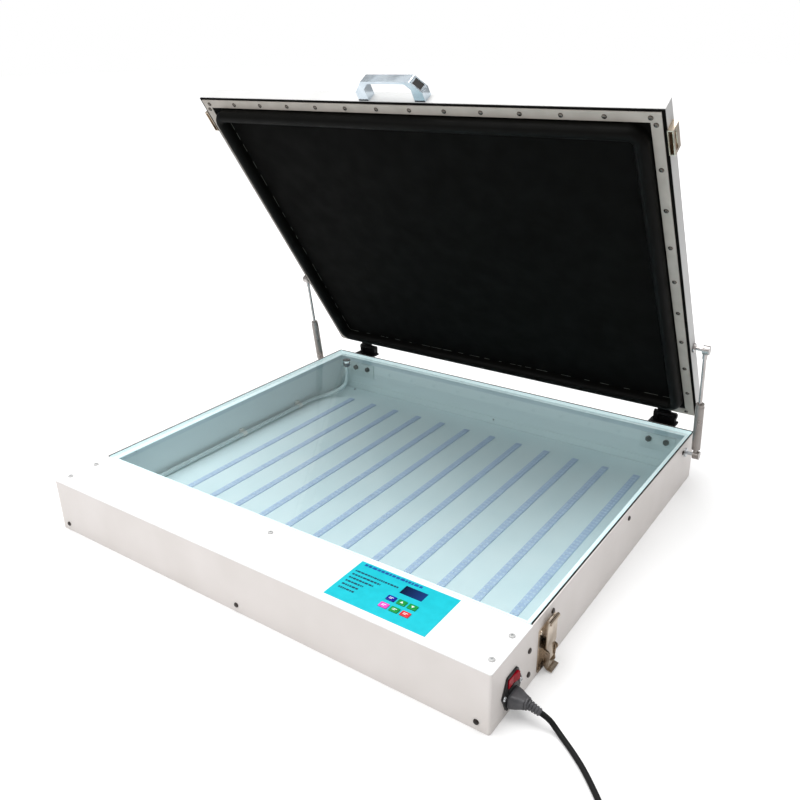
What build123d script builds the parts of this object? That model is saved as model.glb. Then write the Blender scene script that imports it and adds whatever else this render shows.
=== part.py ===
from build123d import *
import math
import os

# Screen printing exposure unit: a flat sheet-metal case with LED strips under a glass pane, and a
# rubber-faced vacuum lid on two hinges. Millimetres. X runs to the right, Y to the back, Z up.
# The origin is the centre of the case's underside. The lid is drawn shut and then turned open.

# ---- case ----
CASE_W = 820.0            # over the side walls
CASE_D = 750.0            # over the front and back walls
CASE_H = 90.0
SHEET = 1.5               # sheet of the walls, deck, ledge and partition
CORNER_R = 3.0            # outside radius of the case's upright corners
DECK_D = 102.5            # depth of the front compartment's deck
FLANGE_W = 18.5           # in-turned flanges that carry the deck
PAN_LIP = 18.0            # upturned lips of the bottom pan
FIT = 0.1                 # sheet inside sheet
LEDGE_W = 12.5
LEDGE_DROP = 14.0
SHELF_D = 31.0            # forward flange along the partition's top
TAB_D = 16.0              # partition's side tabs

SIDE = CASE_W / 2
FRONT = -CASE_D / 2
BACK = CASE_D / 2
PART_Y = FRONT + DECK_D   # back face of the partition

# ---- glass ----
GLASS_T = 6.0
GLASS_GAP = 1.5
TAPE_T = 1.0
TAPE_W = 10.0
PORT_X = -SIDE + 57.0
PORT_Y = BACK - 50.0
PORT_BORE = 10.0
PORT_FLANGE_D = 18.0
PORT_FLANGE_T = 1.5
BARB_D = 4.9
BARB_L = 12.0

# ---- light bed ----
FLOOR_T = 2.0
STRIPS = 12
STRIP_PITCH = 60.4
STRIP_W = 12.0
STRIP_T = 1.6
STRIP_FRONT = PART_Y + 10.5
STRIP_BACK = BACK - 60.4
BUS_W = 5.0
BUS_T = 1.5

# ---- vacuum line ----
HOSE_D = 8.0
HOSE_BORE = 5.0
HOSE_LINE_X = -SIDE + 10.5    # hose along the left wall
HOSE_LINE_Z = 10.0
CLIP_YS = (BACK - 336.0, BACK - 164.0)
CLIP_T = 1.2
CLIP_W = 10.0
PUMP_X = -SIDE + 85.0
PUMP_Y = FRONT + 53.0
PUMP_HEAD = 40.0
PUMP_MOTOR_D = 32.0
PUMP_MOTOR_L = 58.0
NOZZLE_L = 14.0

# ---- fasteners ----
SCREW_D = 4.0
SCREW_HEAD_D = 7.6
SCREW_HEAD_H = 2.2
HOLE_PLAY = 0.2           # on the diameter
DECK_HEAD_D = 8.4
RIVET_HEAD_D = 7.0
RIVET_HEAD_H = 1.8
BOLT_D = 6.0
NUT_AF = 10.0
NUT_H = 5.0

# ---- control panel ----
PANEL_W = 156.6
PANEL_D = 83.6
PANEL_SIDE = 97.6         # panel's right edge inside the case's side
PANEL_FRONT = 12.3        # panel's front edge behind the case's front
PANEL_T = 0.5
PANEL_X = (SIDE - PANEL_SIDE - PANEL_W, SIDE - PANEL_SIDE)
PANEL_Y = (FRONT + PANEL_FRONT, FRONT + PANEL_FRONT + PANEL_D)
LCD_X = (PANEL_X[0] + 82.0, PANEL_X[0] + 116.4)
LCD_Y = (PANEL_Y[0] + 53.3, PANEL_Y[0] + 70.9)
LCD_MARGIN = 4.0          # module past its window, each side
KEY_W = 13.0
KEY_D = 9.5
KEY_PITCH_X = 16.4
KEY_PITCH_Y = 16.4
KEY_X0 = PANEL_X[0] + 81.2    # left column
KEY_Y0 = PANEL_Y[0] + 37.5    # back row
KEY_RISE = 1.2            # above the panel
KEY_FLANGE = 1.2          # retaining flange, each side
KEY_TRAVEL = 0.4
KEY_PLAY = 0.25
BOARD_T = 1.6
BOARD_DROP = 9.0          # board's top below the deck sheet
SWITCH_W = 6.0
STANDOFF_D = 6.0

# ---- mains inlet ----
INLET_Y = FRONT + 49.6
INLET_Z = 33.6
INLET_H = 49.2            # flange, top to bottom
INLET_FLAT = 25.4         # its top and bottom edges
INLET_EARS = 48.4         # over the ear tips
INLET_T = 2.5
INLET_SCREWS = 40.0
INLET_BODY_W = 28.0
INLET_BODY_H = 46.5
INLET_DEPTH = 30.0
SOCKET_Z = 23.0
SOCKET_W = 24.6
SOCKET_H = 16.8
SOCKET_DEPTH = 17.0
ROCKER_Z = 49.0
ROCKER_L = 23.0
ROCKER_W = 11.5
ROCKER_TILT = 6.0
DRAWER_Z = 37.5
DRAWER_H = 6.0
DRAWER_W = 22.0

# ---- lid ----
HINGE_BACK = 25.0         # hinge axis behind the back wall
HINGE_Z = 100.0
LID_OPEN = 56.7357        # degrees, as it stands
LID_INSET = 2.0           # lid's sides inside the case's
LID_FRONT_Y = PART_Y - 1.5
LID_BACK_Y = BACK - 2.4
TUBE = 25.0
TUBE_WALL = 1.5
TUBE_R = 2.0
TUBE_GAP = 5.3            # tubes' underside above the case's rim
RUBBER_T = 2.0
STRIP_LID_W = 15.0
STRIP_LID_T = 1.5
STRIP_LID_INSET = 4.0     # strips inside the tubes' outer faces, at the sides
STRIP_LID_END = 2.7       # the same, at the front edge
RIVET_INSET = 8.0
FRONT_RIVETS = 14
FRONT_RIVET_END = 14.0    # first and last rivet inside the strips' ends
SIDE_RIVETS = 9
SIDE_RIVET_FIRST = 18.4   # behind the strips' front edge
SIDE_RIVET_LAST = 65.5    # before their back edge
BEAD_W = 21.0
BEAD_GAP = 2.0
BEAD_DEPTH = 17.3
BEAD_R = 27.0
BEAD_INNER_R = 9.0
BEAD_ROUND = 9.5

# ---- hinges ----
HINGE_X = SIDE - 64.0
HINGE_W = 50.0
HINGE_PLATE = 3.0
HINGE_PLATE_Z = 45.0
HINGE_FLANGE_Z = 88.0     # top of the base bracket's flange
HINGE_PIN_D = 6.0
HINGE_EYE_R = 6.0
HINGE_BARREL_W = 24.0     # lid's barrel, between the two ears
HINGE_EAR_T = 8.0
HINGE_SIDE_PLAY = 0.4
HINGE_BOLTS = 33.0        # bolts' spacing
HINGE_BOLT_Z = 57.0
BACKING_W = 65.0
BACKING_Z = (36.0, 68.0)

# ---- struts ----
STUD_OUT = 18.0           # ball centres outside the case's sides
BALL_D = 10.0
BALL_PLAY = 0.3
SOCKET_D = 15.0
STUD_D = 6.0
STUD_FLANGE_D = 16.0
STUD_FLANGE_T = 3.0
STRUT_Y = BACK - 51.0
STRUT_Z = 70.0
STRUT_LEN = 206.0         # ball to ball, lid open
STRUT_ANGLE = 98.1        # from +Y, lid open
STRUT_STROKE = 73.5
CYLINDER_D = 15.0
CYLINDER_BORE = 12.0
CYLINDER_L = 104.0        # from the lower ball to the gland
ROD_D = 6.0
PISTON_L = 6.0
LID_STUD_GAP = 0.3

# ---- latches ----
LATCH_Y = PART_Y + 41.5
LATCH_W = 48.0
LATCH_Z = (3.0, 70.5)
LATCH_T = 1.5
LEVER_PIN_OUT = 7.0       # lever's axis outside the case's side
LEVER_PIN_Z = 28.0
HOOK_PIN_OUT = 5.8
HOOK_PIN_Z = 16.0
LEVER_W = 21.0
LEVER_CHEEK_R = 3.9
EAR_GAP = 0.3
EAR_T = 1.5
LATCH_PIN_D = 3.0
HOOK_W = 28.0
HOOK_TONGUE_W = 14.0
HOOK_T = 1.4
HOOK_OUT = 6.6            # hook's inner face outside the case's side
HOOK_TOP = 79.0
HOOK_SHOULDER_Z = 38.0
HOOK_EYE_R = 2.8
LIP_R = 2.6
LIP_W = 25.0
KEEPER_Y = PART_Y + 47.0
KEEPER_W = 38.0
KEEPER_H = 22.5
KEEPER_OUT = 8.0
KEEPER_T = 1.5
KEEPER_LIFT = 2.5         # its lower edge above the case's rim
KEEPER_SLOT_H = 7.0

# ---- handle ----
HANDLE_W = 120.0
HANDLE_LEG = 18.0
HANDLE_H = 33.0
HANDLE_STRAP = 4.0
HANDLE_DEPTH = 17.5
HANDLE_TOP_W = 87.0
HANDLE_SHOULDER = 15.0
HANDLE_RAISE = 1.7        # above the tubes' underside
CAP_L = 15.0
CAP_W = 13.0
CAP_SINK = 1.2

# ---- mains lead ----
LEAD_D = 7.0
LEAD_LENGTH = 1800.0
CONNECTOR_Y = INLET_Y - 1.1
CONNECTOR_OUT = 24.0      # collar's place outside the case
COIL_X = 650.0
COIL_Y = -419.7
COIL_R_IN = 27.0
COIL_PITCH = 8.5
COIL_LIFT = 8.0
COIL_TURNS = 2.75         # in each of two layers
COIL_START = 224.0        # degrees round the coil where the lead comes in

os.makedirs("parts", exist_ok=True)

RIM = CASE_H
DECK_UNDER = RIM - SHEET
LEDGE_TOP = RIM - GLASS_T - TAPE_T
INNER_X = SIDE - SHEET
HINGE_Y = BACK + HINGE_BACK
LID_X = SIDE - LID_INSET
LID_UNDER = RIM + TUBE_GAP                     # tubes' underside, lid shut
RUBBER_UNDER = LID_UNDER - RUBBER_T
STRIP_UNDER = RUBBER_UNDER - STRIP_LID_T
LID_AXIS = Axis((0, HINGE_Y, HINGE_Z), (1, 0, 0))


def block(x, y, z):
    size = Box(x[1] - x[0], y[1] - y[0], z[1] - z[0])
    return Pos((x[0] + x[1]) / 2, (y[0] + y[1]) / 2, (z[0] + z[1]) / 2) * size


def raised(face, height):
    return extrude(face, height, dir=(0, 0, 1))


def around(centre, width):
    return (centre - width / 2, centre + width / 2)


def rod(start, end, diameter):
    start = Vector(*start)
    run = Vector(*end) - start
    spot = Plane(origin=start, z_dir=run).location
    return spot * extrude(Circle(diameter / 2), run.length)


def facing(point, direction):
    return Plane(origin=point, z_dir=direction).location


def mirrored(shape):
    return mirror(shape, Plane.YZ)


def opened(shape):
    return shape.rotate(LID_AXIS, -LID_OPEN)


def write(name, *shapes):
    solids = [solid for shape in shapes for solid in shape.solids()]
    whole = solids[0] if len(solids) == 1 else Compound(children=solids)
    export_step(whole, f"parts/{name}.step")


def write_pair(name, shape):
    write(f"{name}_right", shape)
    write(f"{name}_left", mirrored(shape))


def ring(outer_x, outer_y, width, z, radius=0.0, inner_radius=0.0):
    cx = sum(outer_x) / 2
    cy = sum(outer_y) / 2
    w = outer_x[1] - outer_x[0]
    d = outer_y[1] - outer_y[0]
    outer = RectangleRounded(w, d, radius) if radius else Rectangle(w, d)
    w -= 2 * width
    d -= 2 * width
    inner = RectangleRounded(w, d, inner_radius) if inner_radius else Rectangle(w, d)
    return Pos(cx, cy, z[0]) * extrude(outer - inner, z[1] - z[0])


# ---------------------------------------------------------------- fasteners

def pan_screw(length, head_d=SCREW_HEAD_D, shank_d=SCREW_D):
    """Head on the +Z side of the face it clamps, shank below."""
    head = fillet(
        (Pos(0, 0, SCREW_HEAD_H / 2) * Cylinder(head_d / 2, SCREW_HEAD_H)).edges().group_by(Axis.Z)[-1],
        SCREW_HEAD_H * 0.45,
    )
    return head + Pos(0, 0, -length / 2) * Cylinder(shank_d / 2, length)


def dome_rivet(length):
    head = fillet(
        (Pos(0, 0, RIVET_HEAD_H / 2) * Cylinder(RIVET_HEAD_D / 2, RIVET_HEAD_H)).edges().group_by(Axis.Z)[-1],
        RIVET_HEAD_H * 0.8,
    )
    return head + Pos(0, 0, -length / 2) * Cylinder(SCREW_D / 2, length)


def screw_hole(length, diameter=SCREW_D):
    return Cylinder((diameter + HOLE_PLAY) / 2, 2 * length)


TAB_SCREW_Y = PART_Y - SHEET - 5.0
SIDE_SCREWS = [(TAB_SCREW_Y, 56.5), (TAB_SCREW_Y, 19.5)]
SIDE_SCREWS += [(y, LEDGE_TOP - 7.6) for y in (PART_Y + 57.0, PART_Y + 322.3, BACK - 66.0)]
PAN_SCREW_Z = 12.3
PAN_SCREW_IN = 18.0
PAN_SCREW_XS = (PAN_SCREW_IN - SIDE, 0.0, SIDE - PAN_SCREW_IN)
DECK_SCREW_X = SIDE - 12.0
DECK_SCREWS = [(x, y) for x in (-DECK_SCREW_X, DECK_SCREW_X) for y in (PART_Y - 31.2, FRONT + 22.1)]
DECK_SCREWS += [(0.0, PART_Y - 23.8)]
SCREW_L = 8.0


def side_spots(sign):
    return [facing((sign * SIDE, y, z), (sign, 0, 0)) for y, z in SIDE_SCREWS]


def end_spots():
    front = [facing((x, FRONT, PAN_SCREW_Z), (0, -1, 0)) for x in PAN_SCREW_XS]
    return front + [facing((x, BACK, PAN_SCREW_Z), (0, 1, 0)) for x in PAN_SCREW_XS]


def deck_spots():
    return [Pos(x, y, RIM) for x, y in DECK_SCREWS]


def inlet_screw_spots():
    return [facing((SIDE + INLET_T, INLET_Y + s * INLET_SCREWS / 2, INLET_Z), (1, 0, 0)) for s in (-1, 1)]


FLOOR_SCREWS = [(sx * (INNER_X - 46.5), y) for sx in (-1, 1) for y in (BACK - 13.0, PART_Y + 30.0)]
FLOOR_TOP = SHEET + FLOOR_T


def floor_spots():
    return [Pos(x, y, FLOOR_TOP) for x, y in FLOOR_SCREWS]


def hinge_bolt_spots():
    xs = [sx * HINGE_X + s * HINGE_BOLTS / 2 for sx in (-1, 1) for s in (-1, 1)]
    return [facing((x, BACK + HINGE_PLATE, HINGE_BOLT_Z), (0, 1, 0)) for x in xs]


def drilled(shape, spots, diameter=SCREW_D, length=SCREW_L + 4.0):
    return shape - [spot * screw_hole(length, diameter) for spot in spots]


# ---------------------------------------------------------------- case

def inlet_cutout():
    y = around(INLET_Y, INLET_BODY_W + 2 * FIT)
    z = around(INLET_Z, INLET_BODY_H + 2 * FIT)
    return block((SIDE - 5.0, SIDE + 5.0), y, z)


def base_case():
    walls = ring((-SIDE, SIDE), (FRONT, BACK), SHEET, (0, RIM), CORNER_R, CORNER_R - SHEET)
    walls -= block((-SIDE - 1, SIDE + 1), (FRONT - 1, PART_Y), (DECK_UNDER, RIM + 1))
    z = (DECK_UNDER - SHEET, DECK_UNDER)
    front = block((-INNER_X, INNER_X), (FRONT + SHEET, FRONT + SHEET + FLANGE_W), z)
    side = block((INNER_X - FLANGE_W, INNER_X), (FRONT + SHEET, PART_Y - SHEET - 2 * FIT), z)
    case = walls + front + side + mirrored(side)
    case -= inlet_cutout()
    case = drilled(case, side_spots(1) + side_spots(-1) + end_spots() + deck_spots()[:4])
    case = drilled(case, inlet_screw_spots(), 3.0)
    return drilled(case, hinge_bolt_spots(), BOLT_D, 12.0)


def bottom_pan():
    x = INNER_X - FIT
    y = BACK - SHEET - FIT
    floor = extrude(RectangleRounded(2 * x, 2 * y, CORNER_R - SHEET), SHEET)
    lip = block((CORNER_R - x, x - CORNER_R), (y - SHEET, y), (0, PAN_LIP))
    return drilled(floor + lip + mirror(lip, Plane.XZ), end_spots())


def glass_ledges():
    x = (-INNER_X, INNER_X)
    y = (PART_Y, BACK - SHEET)
    corner = CORNER_R - SHEET
    flange = ring(x, y, LEDGE_W, (LEDGE_TOP - SHEET, LEDGE_TOP), corner)
    web = ring(x, y, SHEET, (LEDGE_TOP - LEDGE_DROP, LEDGE_TOP), corner)
    return drilled(flange + web, side_spots(1) + side_spots(-1))


def glass_seal():
    x = SIDE - SHEET - GLASS_GAP
    y = (PART_Y + GLASS_GAP, BACK - SHEET - GLASS_GAP)
    return ring((-x, x), y, TAPE_W, (LEDGE_TOP, LEDGE_TOP + TAPE_T))


def glass_pane():
    x = SIDE - SHEET - GLASS_GAP
    y = (PART_Y + GLASS_GAP, BACK - SHEET - GLASS_GAP)
    pane = block((-x, x), y, (RIM - GLASS_T, RIM))
    pane = chamfer(pane.edges().filter_by(Axis.Z), 2.0)
    return pane - Pos(PORT_X, PORT_Y, RIM) * Cylinder(PORT_BORE / 2, 4 * GLASS_T)


HARNESS_HOLE_X = -SIDE + 48.0


def front_partition():
    x = INNER_X - FIT
    top = DECK_UNDER
    web = block((-x, x), (PART_Y - SHEET, PART_Y), (SHEET, top))
    shelf_x = INNER_X - FLANGE_W - FIT
    shelf = block((-shelf_x, shelf_x), (PART_Y - SHELF_D, PART_Y), (top - SHEET, top))
    tab = block((x - SHEET, x), (PART_Y - SHEET - TAB_D, PART_Y), (6.0, top - SHEET - 8.0))
    wall = web + shelf + tab + mirrored(tab)
    notch_y = (PART_Y - SHELF_D - 1.0, LCD_Y[1] + LCD_MARGIN + 1.0)
    wall -= block(PANEL_X, notch_y, (top - SHEET - 1.0, top + 1.0))
    wall -= Pos(HOSE_LINE_X, PART_Y, HOSE_LINE_Z) * Rot(90, 0, 0) * Cylinder(HOSE_D / 2 + 0.5, 10)
    wall -= Pos(HARNESS_HOLE_X, PART_Y, HOSE_LINE_Z) * Rot(90, 0, 0) * Cylinder(5.0, 10)
    return drilled(wall, side_spots(1) + side_spots(-1) + deck_spots()[4:])


def deck_cover():
    deck = block((-SIDE, SIDE), (FRONT, PART_Y), (DECK_UNDER, RIM))
    front_corners = deck.edges().filter_by(Axis.Z).group_by(Axis.Y)[0]
    deck = fillet(front_corners, CORNER_R)
    deck -= [block(*cut) for cut in panel_cuts((DECK_UNDER - 1, RIM + 1))]
    return drilled(deck, deck_spots())


# ---------------------------------------------------------------- control panel

def key_centres():
    return [(KEY_X0 + i * KEY_PITCH_X, KEY_Y0 - j * KEY_PITCH_Y) for j in (0, 1) for i in (0, 1, 2)]


def panel_cuts(z):
    cuts = [(around(x, KEY_W + 2 * KEY_PLAY), around(y, KEY_D + 2 * KEY_PLAY), z) for x, y in key_centres()]
    return cuts + [(LCD_X, LCD_Y, z)]


def control_overlay():
    sheet = block(PANEL_X, PANEL_Y, (RIM, RIM + PANEL_T))
    return sheet - [block(*cut) for cut in panel_cuts((RIM - 1, RIM + 1))]


BOARD_TOP = DECK_UNDER - BOARD_DROP
KEY_FOOT = DECK_UNDER - 0.2                     # top of a key's retaining flange
KEY_BASE = KEY_FOOT - 1.4
SWITCH_TOP = KEY_BASE - KEY_TRAVEL - 0.2


def key(x, y):
    cap = block(around(x, KEY_W), around(y, KEY_D), (KEY_FOOT, RIM + PANEL_T + KEY_RISE))
    cap = fillet(cap.edges().filter_by(Axis.Z), 1.5)
    cap = fillet(cap.edges().group_by(Axis.Z)[-1], 0.5)
    wide = around(x, KEY_W + 2 * KEY_FLANGE)
    deep = around(y, KEY_D + 2 * KEY_FLANGE)
    return cap + block(wide, deep, (KEY_BASE, KEY_FOOT))


def lcd_display():
    x = (LCD_X[0] - LCD_MARGIN, LCD_X[1] + LCD_MARGIN)
    y = (LCD_Y[0] - LCD_MARGIN, LCD_Y[1] + LCD_MARGIN)
    module = block(x, y, (BOARD_TOP, DECK_UNDER))
    glass_x = (LCD_X[0] + FIT, LCD_X[1] - FIT)
    glass_y = (LCD_Y[0] + FIT, LCD_Y[1] - FIT)
    return module + block(glass_x, glass_y, (DECK_UNDER, RIM + PANEL_T - 0.2))


BOARD_EDGE = 10.0


def control_board():
    x = (PANEL_X[0] + BOARD_EDGE, PANEL_X[1] - BOARD_EDGE)
    y = (PANEL_Y[0] + BOARD_EDGE, PART_Y - SHELF_D - 1.0 + 22.0)
    pieces = [block(x, y, (BOARD_TOP - BOARD_T, BOARD_TOP))]
    for kx, ky in key_centres():
        pieces.append(block(around(kx, SWITCH_W), around(ky, SWITCH_W), (BOARD_TOP, SWITCH_TOP)))
    for px in (x[0] + 6.0, x[1] - 6.0):
        for py in (y[0] + 6.0, PART_Y - SHELF_D - 6.0):
            pieces.append(rod((px, py, BOARD_TOP), (px, py, DECK_UNDER), STANDOFF_D))
    return pieces


# ---------------------------------------------------------------- mains inlet

def inlet_outline():
    top = INLET_H / 2
    flat = INLET_FLAT / 2
    ear = INLET_EARS / 2
    corners = [(flat, top), (-flat, top), (-ear, 0), (-flat, -top), (flat, -top), (ear, 0)]
    face = make_face(Polyline(*corners, close=True))
    return fillet(face.vertices(), 3.0)


def power_inlet():
    frame = Plane(origin=(SIDE, INLET_Y, INLET_Z), x_dir=(0, 1, 0), z_dir=(1, 0, 0)).location
    flange = frame * extrude(inlet_outline(), INLET_T)
    y = around(INLET_Y, INLET_BODY_W)
    z = around(INLET_Z, INLET_BODY_H)
    face = SIDE + INLET_T
    body = flange + block((SIDE - INLET_DEPTH, SIDE), y, z)
    socket = block((face - SOCKET_DEPTH, face + 1), around(INLET_Y, SOCKET_W), around(SOCKET_Z, SOCKET_H))
    socket = chamfer(socket.edges().filter_by(Axis.X).group_by(Axis.Z)[0], 4.0)
    pocket_l = around(INLET_Y, ROCKER_L + 1.6)
    pocket = block((face - 10.0, face + 1), pocket_l, around(ROCKER_Z, ROCKER_W + 0.6))
    drawer = block((face - 14.0, face + 1), around(INLET_Y, DRAWER_W), around(DRAWER_Z, DRAWER_H))
    body = body - socket - pocket - drawer
    body = drilled(body, inlet_screw_spots(), 3.0)
    pins = []
    for dy, dz in ((-7.0, -2.0), (7.0, -2.0), (0.0, 2.0)):
        length = (face - SOCKET_DEPTH, face - 2.0)
        pins.append(block(length, around(INLET_Y + dy, 2.0), around(SOCKET_Z + dz, 4.0)))
    fuse = block((face - 14.0, face + 0.8), around(INLET_Y, DRAWER_W - 0.2), around(DRAWER_Z, DRAWER_H - 0.2))
    return [body, fuse] + pins


ROCKER_AXIS_X = SIDE + INLET_T - 3.0


def power_rocker():
    half = ROCKER_L / 2
    up = SIDE + INLET_T + 2.6 - ROCKER_AXIS_X
    profile = make_face(Polyline(
        (-3.5, -5.0), (up - 2.6, -half), (up, -half), (up - 1.6, 0), (up, half), (up - 2.6, half), (-3.5, 5.0),
        close=True,
    ))
    solid = raised(profile, ROCKER_W)
    solid = Pos(ROCKER_AXIS_X, INLET_Y, ROCKER_Z - ROCKER_W / 2) * solid
    return solid.rotate(Axis((ROCKER_AXIS_X, INLET_Y, 0), (0, 0, 1)), -ROCKER_TILT)


# ---------------------------------------------------------------- inside the front compartment

SUPPLY_L = 159.0
SUPPLY_W = 93.0
SUPPLY_H = 30.0
SUPPLY_SIDE = 191.0       # its terminals' end inside the case's right side
SUPPLY_GAP = 2.0
SLOT_W = 3.0
SLOT_PITCH = 8.0
TERMINAL_L = 12.0
TERMINAL_H = 14.0


def power_supply():
    x = (SIDE - SUPPLY_SIDE - SUPPLY_L, SIDE - SUPPLY_SIDE)
    y = (FRONT + SHEET + SUPPLY_GAP, FRONT + SHEET + SUPPLY_GAP + SUPPLY_W)
    top = SHEET + SUPPLY_H
    case = block(x, y, (SHEET, top))
    for i in range(12):
        slot_x = around(x[0] + SUPPLY_L / 4 + SLOT_PITCH * i, SLOT_W)
        case -= block(slot_x, (y[0] + SUPPLY_W / 6, y[1] - SUPPLY_W / 6), (top - SHEET, top + 1))
    terminals = block((x[1], x[1] + TERMINAL_L), (y[0] + TERMINAL_L, y[1] - TERMINAL_L), (SHEET, SHEET + TERMINAL_H))
    return case + terminals


def vacuum_pump():
    z = SHEET + 3.0
    mid = z + PUMP_HEAD / 2
    head = block(around(PUMP_X, PUMP_HEAD), around(PUMP_Y, PUMP_HEAD), (z, z + PUMP_HEAD))
    head = fillet(head.edges().filter_by(Axis.X), 5.0)
    motor = rod((PUMP_X + PUMP_HEAD / 2, PUMP_Y, mid), (PUMP_X + PUMP_HEAD / 2 + PUMP_MOTOR_L, PUMP_Y, mid), PUMP_MOTOR_D)
    foot = block((PUMP_X - 15, PUMP_X + 70), around(PUMP_Y, 44.0), (SHEET, z))
    saddle = block((PUMP_X + 35, PUMP_X + 62), around(PUMP_Y, 20.0), (z, mid - 10))
    tip = PUMP_X - PUMP_HEAD / 2 - NOZZLE_L
    nozzle = rod((PUMP_X - PUMP_HEAD / 2, PUMP_Y, PUMP_NOZZLE_Z), (tip, PUMP_Y, PUMP_NOZZLE_Z), BARB_D)
    return head + motor + foot + saddle + nozzle


PUMP_NOZZLE_Z = 20.0


def port_spot():
    return Pos(PORT_X, PORT_Y, RIM)


PORT_NUT_H = 6.0


def vacuum_port():
    flange = Pos(0, 0, PORT_FLANGE_T / 2) * Cylinder(PORT_FLANGE_D / 2, PORT_FLANGE_T)
    flange = chamfer(flange.edges().group_by(Axis.Z)[-1], 0.8)
    shank_l = GLASS_T + PORT_NUT_H + 3.0
    shank = Pos(0, 0, -shank_l / 2) * Cylinder((PORT_BORE - HOLE_PLAY) / 2, shank_l)
    barb = Pos(0, 0, -shank_l - BARB_L / 2) * Cylinder(BARB_D / 2, BARB_L)
    bore = Pos(0, 0, -10) * Cylinder(1.5, 60)
    body = flange + shank + barb - bore
    nut = Pos(0, 0, -GLASS_T - PORT_NUT_H) * extrude(RegularPolygon(8.5, 6), PORT_NUT_H)
    nut -= Cylinder((PORT_BORE - HOLE_PLAY) / 2 + 0.02, 60)
    return [port_spot() * body, port_spot() * nut]


def vacuum_hose():
    top = RIM - GLASS_T - PORT_NUT_H - 3.0
    x = HOSE_LINE_X
    z = HOSE_LINE_Z
    tip = PUMP_X - PUMP_HEAD / 2 - NOZZLE_L
    points = [
        (PORT_X, PORT_Y, top), (PORT_X, PORT_Y, top - 24), (PORT_X - 4, PORT_Y - 3, top - 44),
        (PORT_X - 18, PORT_Y - 16, z + 6), (PORT_X - 38, PORT_Y - 44, z), (x, PORT_Y - 78, z),
        (x, PUMP_Y + 37.0, z), (x + 6, PUMP_Y + 16.0, z + 3), (x + 17, PUMP_Y + 2.5, z + 8),
        (x + 32, PUMP_Y, PUMP_NOZZLE_Z), (tip + NOZZLE_L - 2.0, PUMP_Y, PUMP_NOZZLE_Z),
    ]
    path, radii = tube_path(points)
    print("hose radii", radii)
    start = Plane(origin=points[0], z_dir=(0, 0, -1))
    section = start * (Circle(HOSE_D / 2) - Circle(HOSE_BORE / 2))
    return sweep(section, path=path)


def hose_clips():
    clips = []
    outer = HOSE_D / 2 + 0.1 + CLIP_T
    for y in CLIP_YS:
        band = Pos(HOSE_LINE_X, y + CLIP_W / 2, HOSE_LINE_Z) * Rot(90, 0, 0) * extrude(
            Circle(outer) - Circle(HOSE_D / 2 + 0.1), CLIP_W)
        pad_x = (-INNER_X, HOSE_LINE_X - outer + CLIP_T / 2)
        pad = block(pad_x, around(y, CLIP_W), (HOSE_LINE_Z - 4.0, HOSE_LINE_Z + 9.0))
        pad -= Pos(HOSE_LINE_X, y, HOSE_LINE_Z) * Rot(90, 0, 0) * Cylinder(HOSE_D / 2 + 0.1, 2 * CLIP_W)
        clips.append(band + pad)
    return clips


# ---------------------------------------------------------------- light bed

def floor_plate():
    x = INNER_X - 2.5
    y = (PART_Y + 1.5, BACK - 2 * SHEET - 2.0)
    return drilled(block((-x, x), y, (SHEET, FLOOR_TOP)), floor_spots())


def strip_xs():
    return [(i - (STRIPS - 1) / 2) * STRIP_PITCH for i in range(STRIPS)]


def led_strips():
    z = (FLOOR_TOP, FLOOR_TOP + STRIP_T)
    strips = [block(around(x, STRIP_W), (STRIP_FRONT, STRIP_BACK), z) for x in strip_xs()]
    bus_y = (STRIP_FRONT - BUS_W, STRIP_FRONT)
    bus = block((HARNESS_HOLE_X, strip_xs()[-1] + STRIP_W / 2), bus_y, (FLOOR_TOP, FLOOR_TOP + BUS_T))
    return strips, bus


# ---------------------------------------------------------------- hinges

def eye(radius, bore, x):
    """Round barrel on the hinge axis between two X places."""
    spot = Pos(x[0], HINGE_Y, HINGE_Z) * Rot(0, 90, 0)
    return spot * extrude(Circle(radius) - Circle(bore / 2), x[1] - x[0])


def hinge_bracket():
    x = around(HINGE_X, HINGE_W)
    plate = block(x, (BACK, BACK + HINGE_PLATE), (HINGE_PLATE_Z, HINGE_FLANGE_Z))
    flange = block(x, (BACK, HINGE_Y + HINGE_EYE_R), (HINGE_FLANGE_Z - HINGE_PLATE, HINGE_FLANGE_Z))
    plate = fillet(plate.edges().filter_by(Axis.Y).group_by(Axis.Z)[0], 4.0)
    flange = fillet(flange.edges().filter_by(Axis.Z).group_by(Axis.Y)[-1], 3.0)
    bracket = plate + flange
    inner = HINGE_BARREL_W / 2 + HINGE_SIDE_PLAY
    for s in (-1, 1):
        ear_x = sorted((HINGE_X + s * inner, HINGE_X + s * (inner + HINGE_EAR_T)))
        foot = block(ear_x, around(HINGE_Y, 2 * HINGE_EYE_R), (HINGE_FLANGE_Z, HINGE_Z))
        bracket += foot + eye(HINGE_EYE_R, HINGE_PIN_D, ear_x)
    span = inner + HINGE_EAR_T
    bracket -= rod((HINGE_X - span - 1, HINGE_Y, HINGE_Z), (HINGE_X + span + 1, HINGE_Y, HINGE_Z), HINGE_PIN_D)
    bracket = drilled(bracket, hinge_bolt_spots(), BOLT_D, 12.0)
    head = rod((HINGE_X + span, HINGE_Y, HINGE_Z), (HINGE_X + span + 2, HINGE_Y, HINGE_Z), 9.0)
    pin = rod((HINGE_X - span - 1, HINGE_Y, HINGE_Z), (HINGE_X + span, HINGE_Y, HINGE_Z), HINGE_PIN_D)
    return [bracket, pin + head]


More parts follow.
